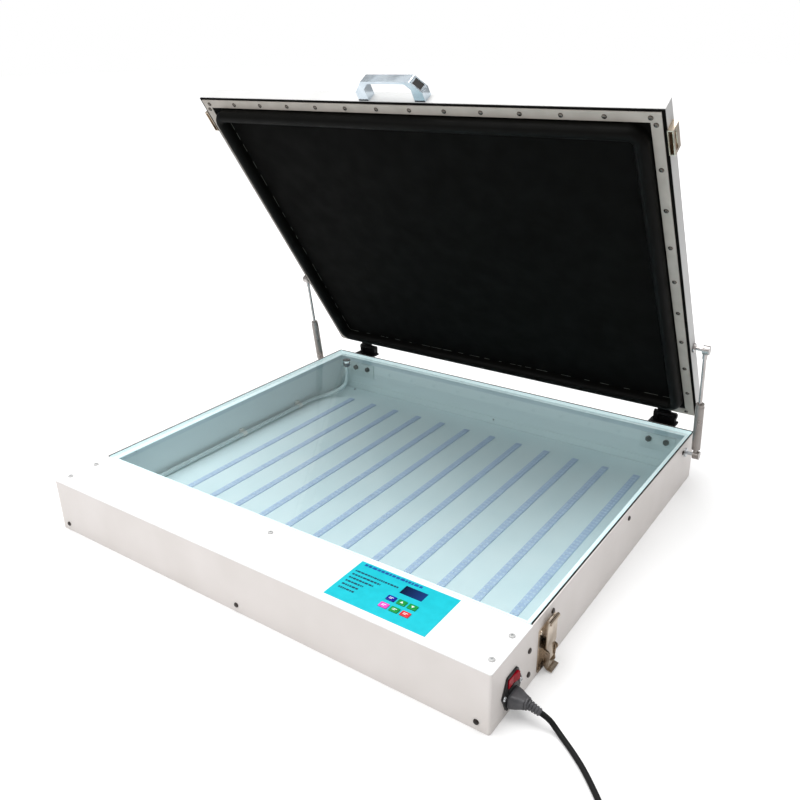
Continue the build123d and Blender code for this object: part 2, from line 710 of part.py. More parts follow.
def hinge_backing():
    shapes = []
    for sx in (-1, 1):
        plate = block(around(sx * HINGE_X, BACKING_W), (BACK - SHEET - 2.0, BACK - SHEET), BACKING_Z)
        shapes.append(drilled(plate, hinge_bolt_spots(), BOLT_D, 12.0))
    inner = HINGE_PLATE + SHEET + 2.0
    for spot in hinge_bolt_spots():
        head = extrude(RegularPolygon(NUT_AF / 2 / math.cos(math.pi / 6), 6), 4.0)
        shank = Pos(0, 0, -(inner + NUT_H + 2) / 2) * Cylinder(BOLT_D / 2, inner + NUT_H + 2)
        nut = Pos(0, 0, -inner - NUT_H) * extrude(RegularPolygon(NUT_AF / 2 / math.cos(math.pi / 6), 6), NUT_H)
        shapes.append(spot * (head + shank + nut))
    return shapes


LEAF_T = 3.0
LEAF_H = TUBE


def hinge_leaf():
    """Lid's half of a hinge, lid shut."""
    barrel_x = around(HINGE_X, HINGE_BARREL_W)
    barrel = eye(HINGE_EYE_R, HINGE_PIN_D + 0.1, barrel_x)
    arm = block(barrel_x, (LID_BACK_Y + LEAF_T - 0.5, HINGE_Y), around(HINGE_Z, 4.0))
    arm -= rod((HINGE_X - 30, HINGE_Y, HINGE_Z), (HINGE_X + 30, HINGE_Y, HINGE_Z), HINGE_EYE_R)
    plate = block(around(HINGE_X, HINGE_W), (LID_BACK_Y, LID_BACK_Y + LEAF_T), (LID_UNDER, LID_UNDER + LEAF_H))
    plate = fillet(plate.edges().filter_by(Axis.Y), 2.0)
    gusset = make_face(Polyline((0, 0), (14, 0), (0, 12), close=True))
    spot = Plane(origin=(HINGE_X - 2.0, LID_BACK_Y + LEAF_T, HINGE_Z + 2.0), x_dir=(0, 1, 0), z_dir=(1, 0, 0))
    rib = spot.location * raised(gusset, 4.0)
    leaf = barrel + arm + plate + rib
    return drilled(leaf, leaf_bolt_spots(), SCREW_D)


def leaf_bolt_spots():
    z = LID_UNDER + LEAF_H * 0.68
    return [facing((HINGE_X + s * HINGE_BOLTS / 2, LID_BACK_Y + LEAF_T, z), (0, 1, 0)) for s in (-1, 1)]


# ---------------------------------------------------------------- lid, drawn shut

def mitred_tube(z, along, outer, span):
    """One square tube of the frame: `along` is X or Y, `outer` its outer face, `span` its ends."""
    def trapezoid(inset):
        low = inset
        high = TUBE - inset
        a, b = span
        return [(a + low, low), (b - low, low), (b - high, high), (a + high, high)]

    def prism(inset):
        pts = [(s, outer + (d if outer < 0 else -d)) for s, d in trapezoid(inset)]
        if along == "Y":
            pts = [(d, s) for s, d in pts]
        face = make_face(Polyline(*pts, close=True))
        return Pos(0, 0, z[0] + inset) * raised(face, z[1] - z[0] - 2 * inset)

    skin = prism(0.0)
    axis = Axis.X if along == "X" else Axis.Y
    skin = fillet(skin.edges().filter_by(axis), TUBE_R)
    return skin - prism(TUBE_WALL)


def lid_tubes():
    z = (LID_UNDER, LID_UNDER + TUBE)
    xs = (-LID_X, LID_X)
    ys = (LID_FRONT_Y, LID_BACK_Y)
    front = mitred_tube(z, "X", LID_FRONT_Y, xs)
    back = mitred_tube(z, "X", LID_BACK_Y, xs)
    right = mitred_tube(z, "Y", LID_X, ys)
    left = mitred_tube(z, "Y", -LID_X, ys)
    front = drilled(front, handle_spots(), SCREW_D)
    back = drilled(back, leaf_bolt_spots(), SCREW_D)
    back = drilled(back, [mirror_spot(s) for s in leaf_bolt_spots()], SCREW_D)
    rivets = rivet_spots()
    return [drilled(tube, rivets, SCREW_D, 14.0) for tube in (front, back, left, right)]


def mirror_spot(spot):
    p = spot.position
    return facing((-p.X, p.Y, p.Z), (0, 1, 0))


def lid_bolts():
    bolts = []
    for spot in leaf_bolt_spots():
        bolts += [spot * pan_screw(LEAF_T + TUBE_WALL + 4.0), mirrored(spot * pan_screw(LEAF_T + TUBE_WALL + 4.0))]
    for spot in handle_spots():
        inside = facing(spot.position + Vector(0, TUBE_WALL, 0), (0, 1, 0))
        bolts.append(inside * pan_screw(TUBE_WALL + 10.0))
    return bolts


def rubber_sheet():
    z = (RUBBER_UNDER, LID_UNDER)
    sheet = block((-LID_X, LID_X), (LID_FRONT_Y, LID_BACK_Y), z)
    return drilled(sheet, rivet_spots(), SCREW_D, 14.0)


STRIP_X = LID_X - STRIP_LID_INSET
STRIP_Y = (LID_FRONT_Y + STRIP_LID_END, LID_BACK_Y)


def rivet_spots():
    down = (0, 0, -1)
    z = STRIP_UNDER
    ys = (STRIP_Y[0] + RIVET_INSET, STRIP_Y[1] - RIVET_INSET)
    end = STRIP_X - FRONT_RIVET_END
    xs = [-end + 2 * end * i / (FRONT_RIVETS - 1) for i in range(FRONT_RIVETS)]
    spots = [facing((x, y, z), down) for x in xs for y in ys]
    first = STRIP_Y[0] + SIDE_RIVET_FIRST
    pitch = (STRIP_Y[1] - SIDE_RIVET_LAST - first) / (SIDE_RIVETS - 1)
    for i in range(SIDE_RIVETS):
        y = first + i * pitch
        spots += [facing((s * (STRIP_X - RIVET_INSET), y, z), down) for s in (-1, 1)]
    return spots


def clamp_strips():
    z = (STRIP_UNDER, RUBBER_UNDER)
    side = block((STRIP_X - STRIP_LID_W, STRIP_X), STRIP_Y, z)
    butt = STRIP_X - STRIP_LID_W - FIT
    front = block((-butt, butt), (STRIP_Y[0], STRIP_Y[0] + STRIP_LID_W), z)
    back = block((-butt, butt), (STRIP_Y[1] - STRIP_LID_W, STRIP_Y[1]), z)
    return [drilled(s, rivet_spots(), SCREW_D, 14.0) for s in (side, mirrored(side), front, back)]


def seal_bead():
    x = STRIP_X - STRIP_LID_W - BEAD_GAP
    y = (STRIP_Y[0] + STRIP_LID_W + BEAD_GAP, STRIP_Y[1] - STRIP_LID_W - BEAD_GAP)
    bead = ring((-x, x), y, BEAD_W, (RUBBER_UNDER - BEAD_DEPTH, RUBBER_UNDER), BEAD_R, BEAD_INNER_R)
    return fillet(bead.edges().group_by(Axis.Z)[0], BEAD_ROUND)


# ---------------------------------------------------------------- handle, drawn with the lid shut

HANDLE_Z = LID_UNDER + HANDLE_RAISE


def handle_spots():
    x = (HANDLE_W - HANDLE_LEG) / 2
    z = HANDLE_Z + HANDLE_DEPTH / 2
    return [facing((s * x, LID_FRONT_Y, z), (0, -1, 0)) for s in (-1, 1)]


def bevel_spot():
    """Middle of the right shoulder, facing outward; local X runs along the bevel."""
    top = HANDLE_TOP_W / 2
    half = HANDLE_W / 2
    x = (top + half) / 2
    h = (HANDLE_H + HANDLE_SHOULDER) / 2
    normal = Vector(HANDLE_H - HANDLE_SHOULDER, -(half - top), 0)
    z = HANDLE_Z + HANDLE_DEPTH / 2
    return Plane(origin=(x, LID_FRONT_Y - h, z), x_dir=(0, 0, 1), z_dir=normal).location


def cap_pocket():
    return bevel_spot() * (Pos(0, 0, -CAP_SINK / 2) * Box(CAP_W, CAP_L, CAP_SINK))


def lid_handle():
    half = HANDLE_W / 2
    top = HANDLE_TOP_W / 2
    inner = half - HANDLE_LEG
    under = HANDLE_H - HANDLE_STRAP
    outline = [(-half, 0), (-half, HANDLE_SHOULDER), (-top, HANDLE_H), (top, HANDLE_H), (half, HANDLE_SHOULDER), (half, 0)]
    outline += [(inner, 0), (inner, under - 9), (inner - 9, under), (9 - inner, under), (-inner, under - 9), (-inner, 0)]
    face = make_face(Polyline(*[(x, -h) for x, h in outline], close=True))
    bar = raised(face, HANDLE_DEPTH)
    bar = Pos(0, LID_FRONT_Y, HANDLE_Z) * bar
    bar = fillet(bar.edges().filter_by(Axis.Z).group_by(Axis.Y)[:3][0], 1.5)
    pocket = cap_pocket()
    bar = bar - pocket - mirrored(pocket)
    return drilled(bar, handle_spots(), SCREW_D, 10.0)


def handle_caps():
    cap = bevel_spot() * (Pos(0, 0, -CAP_SINK + 0.45) * Box(CAP_W - 0.2, CAP_L - 0.2, 0.9))
    return [cap, mirrored(cap)]


# ---------------------------------------------------------------- struts

def strut_direction():
    angle = math.radians(STRUT_ANGLE)
    return Vector(0, math.cos(angle), math.sin(angle))


STRUT_X = SIDE + STUD_OUT
LOWER_BALL = Vector(STRUT_X, STRUT_Y, STRUT_Z)


def along_strut(s):
    return LOWER_BALL + strut_direction() * s


def ball_stud(centre, wall_x):
    flange_end = wall_x + STUD_FLANGE_T
    stud = Pos(centre) * Sphere(BALL_D / 2)
    stud += rod((flange_end, centre.Y, centre.Z), (centre.X, centre.Y, centre.Z), STUD_D)
    flange = rod((wall_x, centre.Y, centre.Z), (flange_end, centre.Y, centre.Z), STUD_FLANGE_D)
    return stud + flange


def socket_cup(centre):
    cup = rod((centre.X - 4.0, centre.Y, centre.Z), (centre.X + 7.0, centre.Y, centre.Z), SOCKET_D)
    cup -= Pos(centre) * Sphere(BALL_D / 2 + BALL_PLAY)
    return cup - rod((centre.X - 6, centre.Y, centre.Z), (centre.X, centre.Y, centre.Z), BALL_D - 0.6)


def tube_along(s, outer, inner=0.0):
    spot = Plane(origin=along_strut(s[0]), z_dir=strut_direction()).location
    section = Circle(outer / 2) - Circle(inner / 2) if inner else Circle(outer / 2)
    return spot * extrude(section, s[1] - s[0])


def strut_cylinder():
    cup = socket_cup(LOWER_BALL)
    neck = tube_along((BALL_D / 2 + 1.6, 16.0), 8.0)
    cap = tube_along((13.0, 17.0), CYLINDER_D)
    barrel = tube_along((17.0, CYLINDER_L - 6.0), CYLINDER_D, CYLINDER_BORE)
    gland = tube_along((CYLINDER_L - 6.0, CYLINDER_L), CYLINDER_D - 1.0, ROD_D + 0.1)
    return cup + neck + cap + barrel + gland


def strut_rod():
    upper = along_strut(STRUT_LEN)
    cup = socket_cup(upper)
    neck = tube_along((STRUT_LEN - 16.0, STRUT_LEN - BALL_D / 2 - 1.6), 8.0)
    shaft = tube_along((CYLINDER_L - 12.0, STRUT_LEN - 12.0), ROD_D)
    piston = tube_along((CYLINDER_L - 13.0, CYLINDER_L - 13.0 + PISTON_L), CYLINDER_BORE - 0.1)
    stud = ball_stud(upper, LID_X + LID_STUD_GAP)
    return [cup + neck + shaft + piston, stud]


# ---------------------------------------------------------------- latches, right side

LEVER_PIN_X = SIDE + LEVER_PIN_OUT
HOOK_PIN_X = SIDE + HOOK_PIN_OUT


def disc(x, z, radius, y):
    return Pos(x, y[1], z) * Rot(90, 0, 0) * extrude(Circle(radius), y[1] - y[0])


def sheet_profile(points, y):
    """Flat outline in X and Z, as thick as the Y pair."""
    face = make_face(Polyline(*[(px, pz) for px, pz in points], close=True))
    solid = Rot(90, 0, 0) * raised(face, y[1] - y[0])
    return Pos(0, y[1], 0) * solid


def link_plate(p, q, radius, y):
    """Plate with round ends about two pin places."""
    run = Vector(q[0] - p[0], q[1] - p[1], 0)
    side = Vector(-run.Y, run.X, 0).normalized() * radius
    corners = [(p[0] + side.X, p[1] + side.Y), (q[0] + side.X, q[1] + side.Y)]
    corners += [(q[0] - side.X, q[1] - side.Y), (p[0] - side.X, p[1] - side.Y)]
    return sheet_profile(corners, y) + disc(*p, radius, y) + disc(*q, radius, y)


LEVER_PIN = (LEVER_PIN_X, LEVER_PIN_Z)
HOOK_PIN = (HOOK_PIN_X, HOOK_PIN_Z)
EAR_IN = LEVER_W / 2 + EAR_GAP


def latch_screw_spots():
    ys = around(LATCH_Y, LATCH_W - 10.0)
    zs = (LATCH_Z[0] + 5.5, LATCH_Z[1] - 5.5)
    return [facing((SIDE + LATCH_T, y, z), (1, 0, 0)) for y in ys for z in zs]


def latch_plate():
    spot = Plane(origin=(SIDE, LATCH_Y, sum(LATCH_Z) / 2), x_dir=(0, 1, 0), z_dir=(1, 0, 0)).location
    outline = RectangleRounded(LATCH_W, LATCH_Z[1] - LATCH_Z[0], 4.0)
    plate = spot * extrude(outline, LATCH_T)
    plate = drilled(plate, latch_screw_spots(), 3.0)
    for s in (-1, 1):
        y = sorted((LATCH_Y + s * EAR_IN, LATCH_Y + s * (EAR_IN + EAR_T)))
        root = sheet_profile([(SIDE + 1, LEVER_PIN_Z - 9), (SIDE + 1, LEVER_PIN_Z + 9),
                              (LEVER_PIN_X, LEVER_PIN_Z + 5), (LEVER_PIN_X, LEVER_PIN_Z - 5)], y)
        plate += root + disc(*LEVER_PIN, 5.0, y)
        plate -= disc(*LEVER_PIN, LATCH_PIN_D / 2, (y[0] - 1, y[1] + 1))
    screws = [spot * (fillet(Cylinder(3.0, 3.0).edges().group_by(Axis.Z)[-1], 1.0)) for spot in latch_screw_spots()]
    return [plate] + [screw for screw in screws]


def latch_lever():
    lever = None
    for s in (-1, 1):
        y = sorted((LATCH_Y + s * (LEVER_W / 2 - 1.5), LATCH_Y + s * LEVER_W / 2))
        cheek = link_plate(LEVER_PIN, HOOK_PIN, LEVER_CHEEK_R, y)
        cheek += link_plate(HOOK_PIN, (HOOK_PIN_X + 1.0, 9.0), LEVER_CHEEK_R - 0.4, y)
        stub = sorted((LATCH_Y + s * (LEVER_W / 2 - 1.5), LATCH_Y + s * (EAR_IN + EAR_T + 0.6)))
        cheek += disc(*LEVER_PIN, LATCH_PIN_D / 2 - 0.05, stub)
        lever = cheek if lever is None else lever + cheek
    across = around(LATCH_Y, LEVER_W)
    lever += disc(*HOOK_PIN, LATCH_PIN_D / 2, across)
    x = HOOK_PIN_X
    web = [(x - 2.2, 11.0), (x - 2.2, 7.0), (x + 1.6, 2.6), (x + 9.0, 1.4), (x + 9.4, 2.9), (x + 2.4, 4.2),
           (x - 0.7, 7.6), (x - 0.7, 11.0)]
    return lever + sheet_profile(web, across)


def latch_hook():
    x0 = SIDE + HOOK_OUT
    x1 = x0 + HOOK_T
    face_half = HOOK_W / 2
    tongue = HOOK_TONGUE_W / 2
    top = HOOK_TOP - LIP_R
    outline = [(-tongue, HOOK_PIN_Z), (tongue, HOOK_PIN_Z), (tongue, HOOK_SHOULDER_Z - 8),
               (face_half, HOOK_SHOULDER_Z), (face_half, top - 12), (LIP_W / 2, top), (-LIP_W / 2, top),
               (-face_half, top - 12), (-face_half, HOOK_SHOULDER_Z), (-tongue, HOOK_SHOULDER_Z - 8)]
    spot = Plane(origin=(x0, LATCH_Y, 0), x_dir=(0, 1, 0), z_dir=(1, 0, 0)).location
    face = make_face(Polyline(*outline, close=True))
    plate = spot * raised(face, HOOK_T)
    y = around(LATCH_Y, LIP_W)
    lip = disc(x0 + LIP_R, top, LIP_R, y) - disc(x0 + LIP_R, top, LIP_R - HOOK_T, (y[0] - 1, y[1] + 1))
    lip -= block((x0 - 1, x0 + LIP_R), (y[0] - 1, y[1] + 1), (top - 8, top))
    lip += block((x0 + 2 * LIP_R - HOOK_T, x0 + 2 * LIP_R), y, (top - 2.0, top))
    tongue_y = around(LATCH_Y, HOOK_TONGUE_W)
    barrel = disc(*HOOK_PIN, HOOK_EYE_R, tongue_y)
    hook = plate + lip + barrel
    hook -= disc(*HOOK_PIN, LATCH_PIN_D / 2 + 0.05, (tongue_y[0] - 1, tongue_y[1] + 1))
    return hook


def keeper():
    """Drawn with the lid shut: a box open downward, with a slot that the hook's lip enters."""
    z0 = RIM + KEEPER_LIFT
    z = (z0, z0 + KEEPER_H)
    y = around(KEEPER_Y, KEEPER_W)
    x = (LID_X, LID_X + KEEPER_OUT)
    shell = block(x, y, z)
    shell = fillet(shell.edges().filter_by(Axis.Y).group_by(Axis.X)[-1].group_by(Axis.Z)[-1], 2.5)
    inner_y = around(KEEPER_Y, KEEPER_W - 2 * KEEPER_T)
    shell -= block((x[0] + KEEPER_T, x[1] - KEEPER_T), inner_y, (z[0] - 1, z[1] - KEEPER_T))
    slot = block((x[1] - KEEPER_T - 1, x[1] + 1), around(KEEPER_Y, KEEPER_W - 10.0), around(z0 + 8.0, KEEPER_SLOT_H))
    return shell - slot


# ---------------------------------------------------------------- mains lead

def tube_path(points):
    vectors = [Vector(*p) for p in points]
    radii = []
    for a, b, c in zip(vectors, vectors[1:], vectors[2:]):
        turn = math.radians((b - a).get_angle(c - b))
        shorter = min((b - a).length, (c - b).length)
        radii.append(round(0.45 * shorter / math.tan(turn / 2), 2))
    return FilletPolyline(*points, radius=radii), radii


CONNECTOR_FACE = SIDE + INLET_T
COLLAR_X = SIDE + CONNECTOR_OUT
RELIEF_L = 18.0
RELIEF_DROP = 16.0        # degrees that the relief sags


def relief_plane():
    down = math.radians(RELIEF_DROP)
    return Plane(origin=(COLLAR_X, CONNECTOR_Y, SOCKET_Z), z_dir=(math.cos(down), 0, -math.sin(down)))


def relief_end():
    plane = relief_plane()
    return plane.origin + plane.z_dir * RELIEF_L


def mains_connector():
    play = 0.3
    nose_y = around(INLET_Y, SOCKET_W - 2 * play)
    nose = block((CONNECTOR_FACE - SOCKET_DEPTH + 0.5, CONNECTOR_FACE + 0.5), nose_y, around(SOCKET_Z, SOCKET_H - 2 * play))
    nose = chamfer(nose.edges().filter_by(Axis.X).group_by(Axis.Z)[0], 4.0)
    for dy, dz in ((-7.0, -2.0), (7.0, -2.0), (0.0, 2.0)):
        well = (CONNECTOR_FACE - SOCKET_DEPTH - 1, CONNECTOR_FACE - 1.0)
        nose -= block(well, around(INLET_Y + dy, 2.4), around(SOCKET_Z + dz, 4.4))
    near = Plane(origin=(CONNECTOR_FACE + 0.5, CONNECTOR_Y, SOCKET_Z), x_dir=(0, 1, 0), z_dir=(1, 0, 0))
    far = Plane(origin=(COLLAR_X - 2.5, CONNECTOR_Y, SOCKET_Z), x_dir=(0, 1, 0), z_dir=(1, 0, 0))
    grip = loft([near * RectangleRounded(27.0, 19.0, 5.0), far * RectangleRounded(17.0, 14.0, 5.0)])
    collar = rod((COLLAR_X - 2.5, CONNECTOR_Y, SOCKET_Z), (COLLAR_X + 0.8, CONNECTOR_Y, SOCKET_Z), 16.0)
    base = relief_plane()
    tip = base.offset(RELIEF_L)
    relief = loft([base * Circle(6.6), tip * Circle(4.8)])
    return nose + grip + collar + relief


def lead_points():
    end = relief_end()
    start = (end.X, end.Y, end.Z)
    low = LEAD_D / 2
    bend = end + relief_plane().z_dir * 10.5
    return [
        start, tuple(bend), (471.0, -328.0, 7.5), (483.0, -334.0, low), (500.0, -345.5, low),
        (524.0, -364.5, low), (561.0, -402.0, low),
    ]


def coil_radius(turn):
    if turn <= COIL_TURNS:
        return COIL_R_IN + COIL_PITCH * (COIL_TURNS - turn)
    if turn <= COIL_TURNS + 0.5:
        return COIL_R_IN
    return COIL_R_IN + COIL_PITCH * (turn - COIL_TURNS - 0.5)


def coil_height(turn):
    share = min(max((turn - COIL_TURNS) / 0.5, 0.0), 1.0)
    return LEAD_D / 2 + COIL_LIFT * share * share * (3 - 2 * share)


def coil_point(turn):
    angle = math.radians(COIL_START) + 2 * math.pi * turn
    r = coil_radius(turn)
    return Vector(COIL_X + r * math.cos(angle), COIL_Y + r * math.sin(angle), coil_height(turn))


def coil_tangent(turn):
    step = 0.0005
    last = 2 * COIL_TURNS + 0.5
    return (coil_point(min(turn + step, last)) - coil_point(max(turn - step, 0.0))).normalized()


def biarc(p, tp, q, tq):
    """Two arcs in a row from p to q that leave and arrive along the given tangents."""
    v = q - p
    t = tp + tq
    a = 2 * (1 - tp.dot(tq))
    b = 2 * v.dot(t)
    c = -v.dot(v)
    d = -c / b if abs(a) < 1e-9 else (-b + math.sqrt(b * b - 4 * a * c)) / (2 * a)
    joint = (p + tp * d + q - tq * d) / 2
    mid = (q - tq * d - p - tp * d).normalized()
    return [TangentArc(p, joint, tangent=tp), TangentArc(joint, q, tangent=mid)]


def coil_wire():
    steps = int(4 * (2 * COIL_TURNS + 0.5))
    turns = [i / 4 for i in range(steps + 1)]
    spots = [coil_point(t) for t in turns]
    tangents = [coil_tangent(t) for t in turns]
    edges = [Line(spots[0] - tangents[0] * LEAD_D, spots[0])]
    for i in range(steps):
        edges += biarc(spots[i], tangents[i], spots[i + 1], tangents[i + 1])
    edges.append(Line(spots[-1], spots[-1] + tangents[-1] * LEAD_D))
    return Wire(edges), spots[0] - tangents[0] * LEAD_D, spots[-1] + tangents[-1] * LEAD_D, tangents[0], tangents[-1]


CORD_SIDES = 10


def cord_section(origin, direction):
    return Plane(origin=origin, z_dir=direction) * RegularPolygon(LEAD_D / 2, CORD_SIDES)


def tube(points, name):
    path, radii = tube_path(points)
    print(name, "radii", radii)
    start = Vector(*points[0])
    section = Plane(origin=start, z_dir=Vector(*points[1]) - start) * Circle(LEAD_D / 2)
    solid = sweep(section, path=path)
    area = math.pi * LEAD_D ** 2 / 4
    print(name, "length", round(path.length, 1), "volume ratio", round(solid.volume / (path.length * area), 5))
    return solid, path.length


def least_coil_gap():
    turns = [i / 72 for i in range(int(72 * (2 * COIL_TURNS + 0.5)) + 1)]
    spots = [coil_point(t) for t in turns]
    least = 1e9
    for i, p in enumerate(spots):
        for j in range(i + 36, len(spots)):
            least = min(least, (spots[j] - p).length)
    return least - LEAD_D


PLUG_AXIS_Z = 11.05
TAIL_ROUTE = [
    (638.2, -506.3, 6.5), (619.8, -524.7, LEAD_D / 2), (589.8, -524.7, LEAD_D / 2),
    (557.0, -524.7, PLUG_AXIS_Z), (540.0, -524.7, PLUG_AXIS_Z),
]


def mains_lead():
    wire, first, last, t_first, t_last = coil_wire()
    coil = sweep(cord_section(first, t_first), path=wire)
    print("coil length", round(wire.length, 1), "least gap", round(least_coil_gap(), 2))
    print("coil start", [round(v, 1) for v in first], [round(v, 3) for v in t_first])
    print("coil end", [round(v, 1) for v in last], [round(v, 3) for v in t_last])
    run_in = lead_points() + [tuple(first - t_first * 30.0), tuple(first)]
    lead, lead_l = tube(run_in, "lead")
    tail_points = [tuple(last), tuple(last + t_last * 28.0)] + TAIL_ROUTE
    tail, tail_l = tube(tail_points, "tail")
    print("cord in all", round(lead_l + wire.length + tail_l, 1), "of", LEAD_LENGTH)
    end = Vector(*tail_points[-1])
    return lead, tail, coil, end, (end - Vector(*tail_points[-2])).normalized()


PLUG_L = 42.0
PLUG_H = 22.0
BLADE = (1.5, 6.4, 17.5)


def mains_plug(point, direction):
    spot = Plane(origin=point, x_dir=Vector(0, 0, 1).cross(direction), z_dir=direction)
    neck = loft([spot * Circle(4.6), spot.offset(16.0) * Circle(6.4)])
    body = loft([spot.offset(16.0) * RectangleRounded(16.0, 16.0, 6.0),
                 spot.offset(22.0) * RectangleRounded(25.0, PLUG_H, 5.0)])
    body += spot.location * (Pos(0, 0, 22.0) * extrude(RectangleRounded(25.0, PLUG_H, 5.0), PLUG_L - 22.0))
    plug = neck + body
    for s in (-1, 1):
        plug += spot.location * (Pos(s * 6.35, 0, PLUG_L + BLADE[2] / 2) * Box(*BLADE))
    return plug + spot.location * (Pos(0, -7.0, PLUG_L + 10.0) * Cylinder(2.4, 20.0))


# ---------------------------------------------------------------- output

write("base_case", base_case())
write("bottom_pan", bottom_pan())
write("glass_ledges", glass_ledges())
write("glass_seal", glass_seal())
write("glass_pane", glass_pane())
write("front_partition", front_partition())
write("deck_cover", deck_cover())
write("control_overlay", control_overlay())
write("lcd_display", lcd_display())
write("control_board", *control_board())
write("power_inlet", *power_inlet())
write("power_rocker", power_rocker())
write("power_supply", power_supply())
write("vacuum_pump", vacuum_pump())
write("vacuum_port", *vacuum_port())
write("vacuum_hose", vacuum_hose())
write("hose_clips", *hose_clips())
write("floor_plate", floor_plate())
strips, bus = led_strips()
write("led_strips", *strips, bus)
black = [spot * pan_screw(SCREW_L) for spot in side_spots(1) + side_spots(-1) + end_spots()]
write("case_screws", *black)
light = [spot * pan_screw(SCREW_L, DECK_HEAD_D) for spot in deck_spots()]
light += [spot * pan_screw(10.0, 6.0, 3.0) for spot in inlet_screw_spots()]
light += [spot * pan_screw(FLOOR_T, 7.0) for spot in floor_spots()]
write("deck_inlet_floor_screws", *light)
for number, (kx, ky) in enumerate(key_centres(), 1):
    write(f"panel_key_{number}", key(kx, ky))

write_bracket = hinge_bracket()
write("hinge_bracket_right", *write_bracket)
write("hinge_bracket_left", *[mirrored(s) for s in write_bracket])
write("hinge_backing", *hinge_backing())
write("strut_base_studs", ball_stud(LOWER_BALL, SIDE), mirrored(ball_stud(LOWER_BALL, SIDE)))
write_pair("strut_cylinder", strut_cylinder())
rods = strut_rod()
write("strut_rod_right", *rods)
write("strut_rod_left", *[mirrored(s) for s in rods])
plates = latch_plate()
write("latch_plate_right", *plates)
write("latch_plate_left", *[mirrored(s) for s in plates])
write_pair("latch_lever", latch_lever())
write_pair("latch_hook", latch_hook())

for name, tube_solid in zip(("front", "back", "left", "right"), lid_tubes()):
    write(f"lid_tube_{name}", opened(tube_solid))
write("rubber_sheet", opened(rubber_sheet()))
write("seal_bead", opened(seal_bead()))
write("clamp_strips", *[opened(s) for s in clamp_strips()])
write("strip_rivets", *[opened(spot * dome_rivet(10.0)) for spot in rivet_spots()])
write("lid_handle", opened(lid_handle()))
write("handle_caps", *[opened(s) for s in handle_caps()])
write("lid_bolts", *[opened(s) for s in lid_bolts()])
write_pair("hinge_leaf", opened(hinge_leaf()))
write_pair("keeper", opened(keeper()))

lead, tail, coil, plug_point, plug_way = mains_lead()
write("mains_connector", mains_connector())
write("mains_lead", lead, tail)
write("lead_coil", coil)
write("mains_plug", mains_plug(plug_point, plug_way))
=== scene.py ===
import math
import random

import bmesh
import bpy
from mathutils import Matrix, Vector


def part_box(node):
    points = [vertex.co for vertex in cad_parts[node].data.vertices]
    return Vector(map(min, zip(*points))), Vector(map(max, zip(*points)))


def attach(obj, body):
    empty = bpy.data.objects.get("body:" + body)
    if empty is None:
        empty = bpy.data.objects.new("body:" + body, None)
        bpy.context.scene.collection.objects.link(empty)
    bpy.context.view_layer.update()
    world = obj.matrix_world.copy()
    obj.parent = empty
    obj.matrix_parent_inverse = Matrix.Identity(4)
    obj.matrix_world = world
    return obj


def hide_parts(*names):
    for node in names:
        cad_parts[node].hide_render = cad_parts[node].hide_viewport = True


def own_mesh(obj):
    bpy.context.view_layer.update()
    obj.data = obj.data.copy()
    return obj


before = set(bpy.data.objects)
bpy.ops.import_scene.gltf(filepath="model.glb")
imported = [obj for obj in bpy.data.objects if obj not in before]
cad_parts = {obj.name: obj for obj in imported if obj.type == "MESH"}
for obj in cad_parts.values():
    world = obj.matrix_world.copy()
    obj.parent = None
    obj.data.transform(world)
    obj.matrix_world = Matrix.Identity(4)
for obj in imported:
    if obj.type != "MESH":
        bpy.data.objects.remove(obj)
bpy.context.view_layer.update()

random.seed(7)
mm = 0.001

# the lid is built shut, in the case's axes, and turned open about its hinge
hinge = {"y": 0.400, "z": 0.100, "openDeg": 56.7357}
openLid = (
    Matrix.Translation((0, hinge["y"], hinge["z"]))
    @ Matrix.Rotation(math.radians(-hinge["openDeg"]), 4, "X")
    @ Matrix.Translation((0, -hinge["y"], -hinge["z"]))
)


camera = {
    "place": (0.7451, -1.0101, 0.7333),
    "aim": (-0.2368, 0.3784, 0.0),
    "rollDeg": -1.026,
    "lensMm": 36.67,
    "shiftX": -0.0038,
}


def placeCamera():
    data = bpy.data.cameras.new("camera")
    data.lens = camera["lensMm"]
    data.sensor_width = 36
    data.shift_x = camera["shiftX"]
    data.clip_start = 0.01
    eye = bpy.data.objects.new("camera", data)
    bpy.context.collection.objects.link(eye)
    look = Vector(camera["aim"]) - Vector(camera["place"])
    turn = look.to_track_quat("-Z", "Y").to_matrix().to_4x4()
    roll = Matrix.Rotation(math.radians(camera["rollDeg"]), 4, "Z")
    eye.matrix_world = Matrix.Translation(camera["place"]) @ turn @ roll
    bpy.context.scene.camera = eye


placeCamera()
print("camera placed")


def addObject(name, data, material, body):
    piece = bpy.data.objects.new(name, data)
    bpy.context.collection.objects.link(piece)
    data.materials.append(material)
    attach(piece, body)
    return piece


def meshPiece(name, verts, faces, material, body, matrix=None, smooth=True, angle=40):
    mesh = bpy.data.meshes.new(name)
    mesh.from_pydata([tuple(v) for v in verts], [], faces)
    if matrix:
        mesh.transform(matrix)
    build = bmesh.new()
    build.from_mesh(mesh)
    bmesh.ops.recalc_face_normals(build, faces=build.faces)
    build.to_mesh(mesh)
    build.free()
    if smooth:
        mesh.polygons.foreach_set("use_smooth", [True] * len(mesh.polygons))
        mesh.set_sharp_from_angle(angle=math.radians(angle))
    return addObject(name, mesh, material, body)


def ringLoft(rings):
    # rings of equal length, joined in order and filled at both ends
    count = len(rings[0])
    verts = [v for ring in rings for v in ring]
    faces = []
    for i in range(len(rings) - 1):
        for j in range(count):
            k = (j + 1) % count
            faces.append((i * count + j, i * count + k, (i + 1) * count + k, (i + 1) * count + j))
    faces.append(tuple(reversed(range(count))))
    faces.append(tuple(range((len(rings) - 1) * count, len(rings) * count)))
    return verts, faces


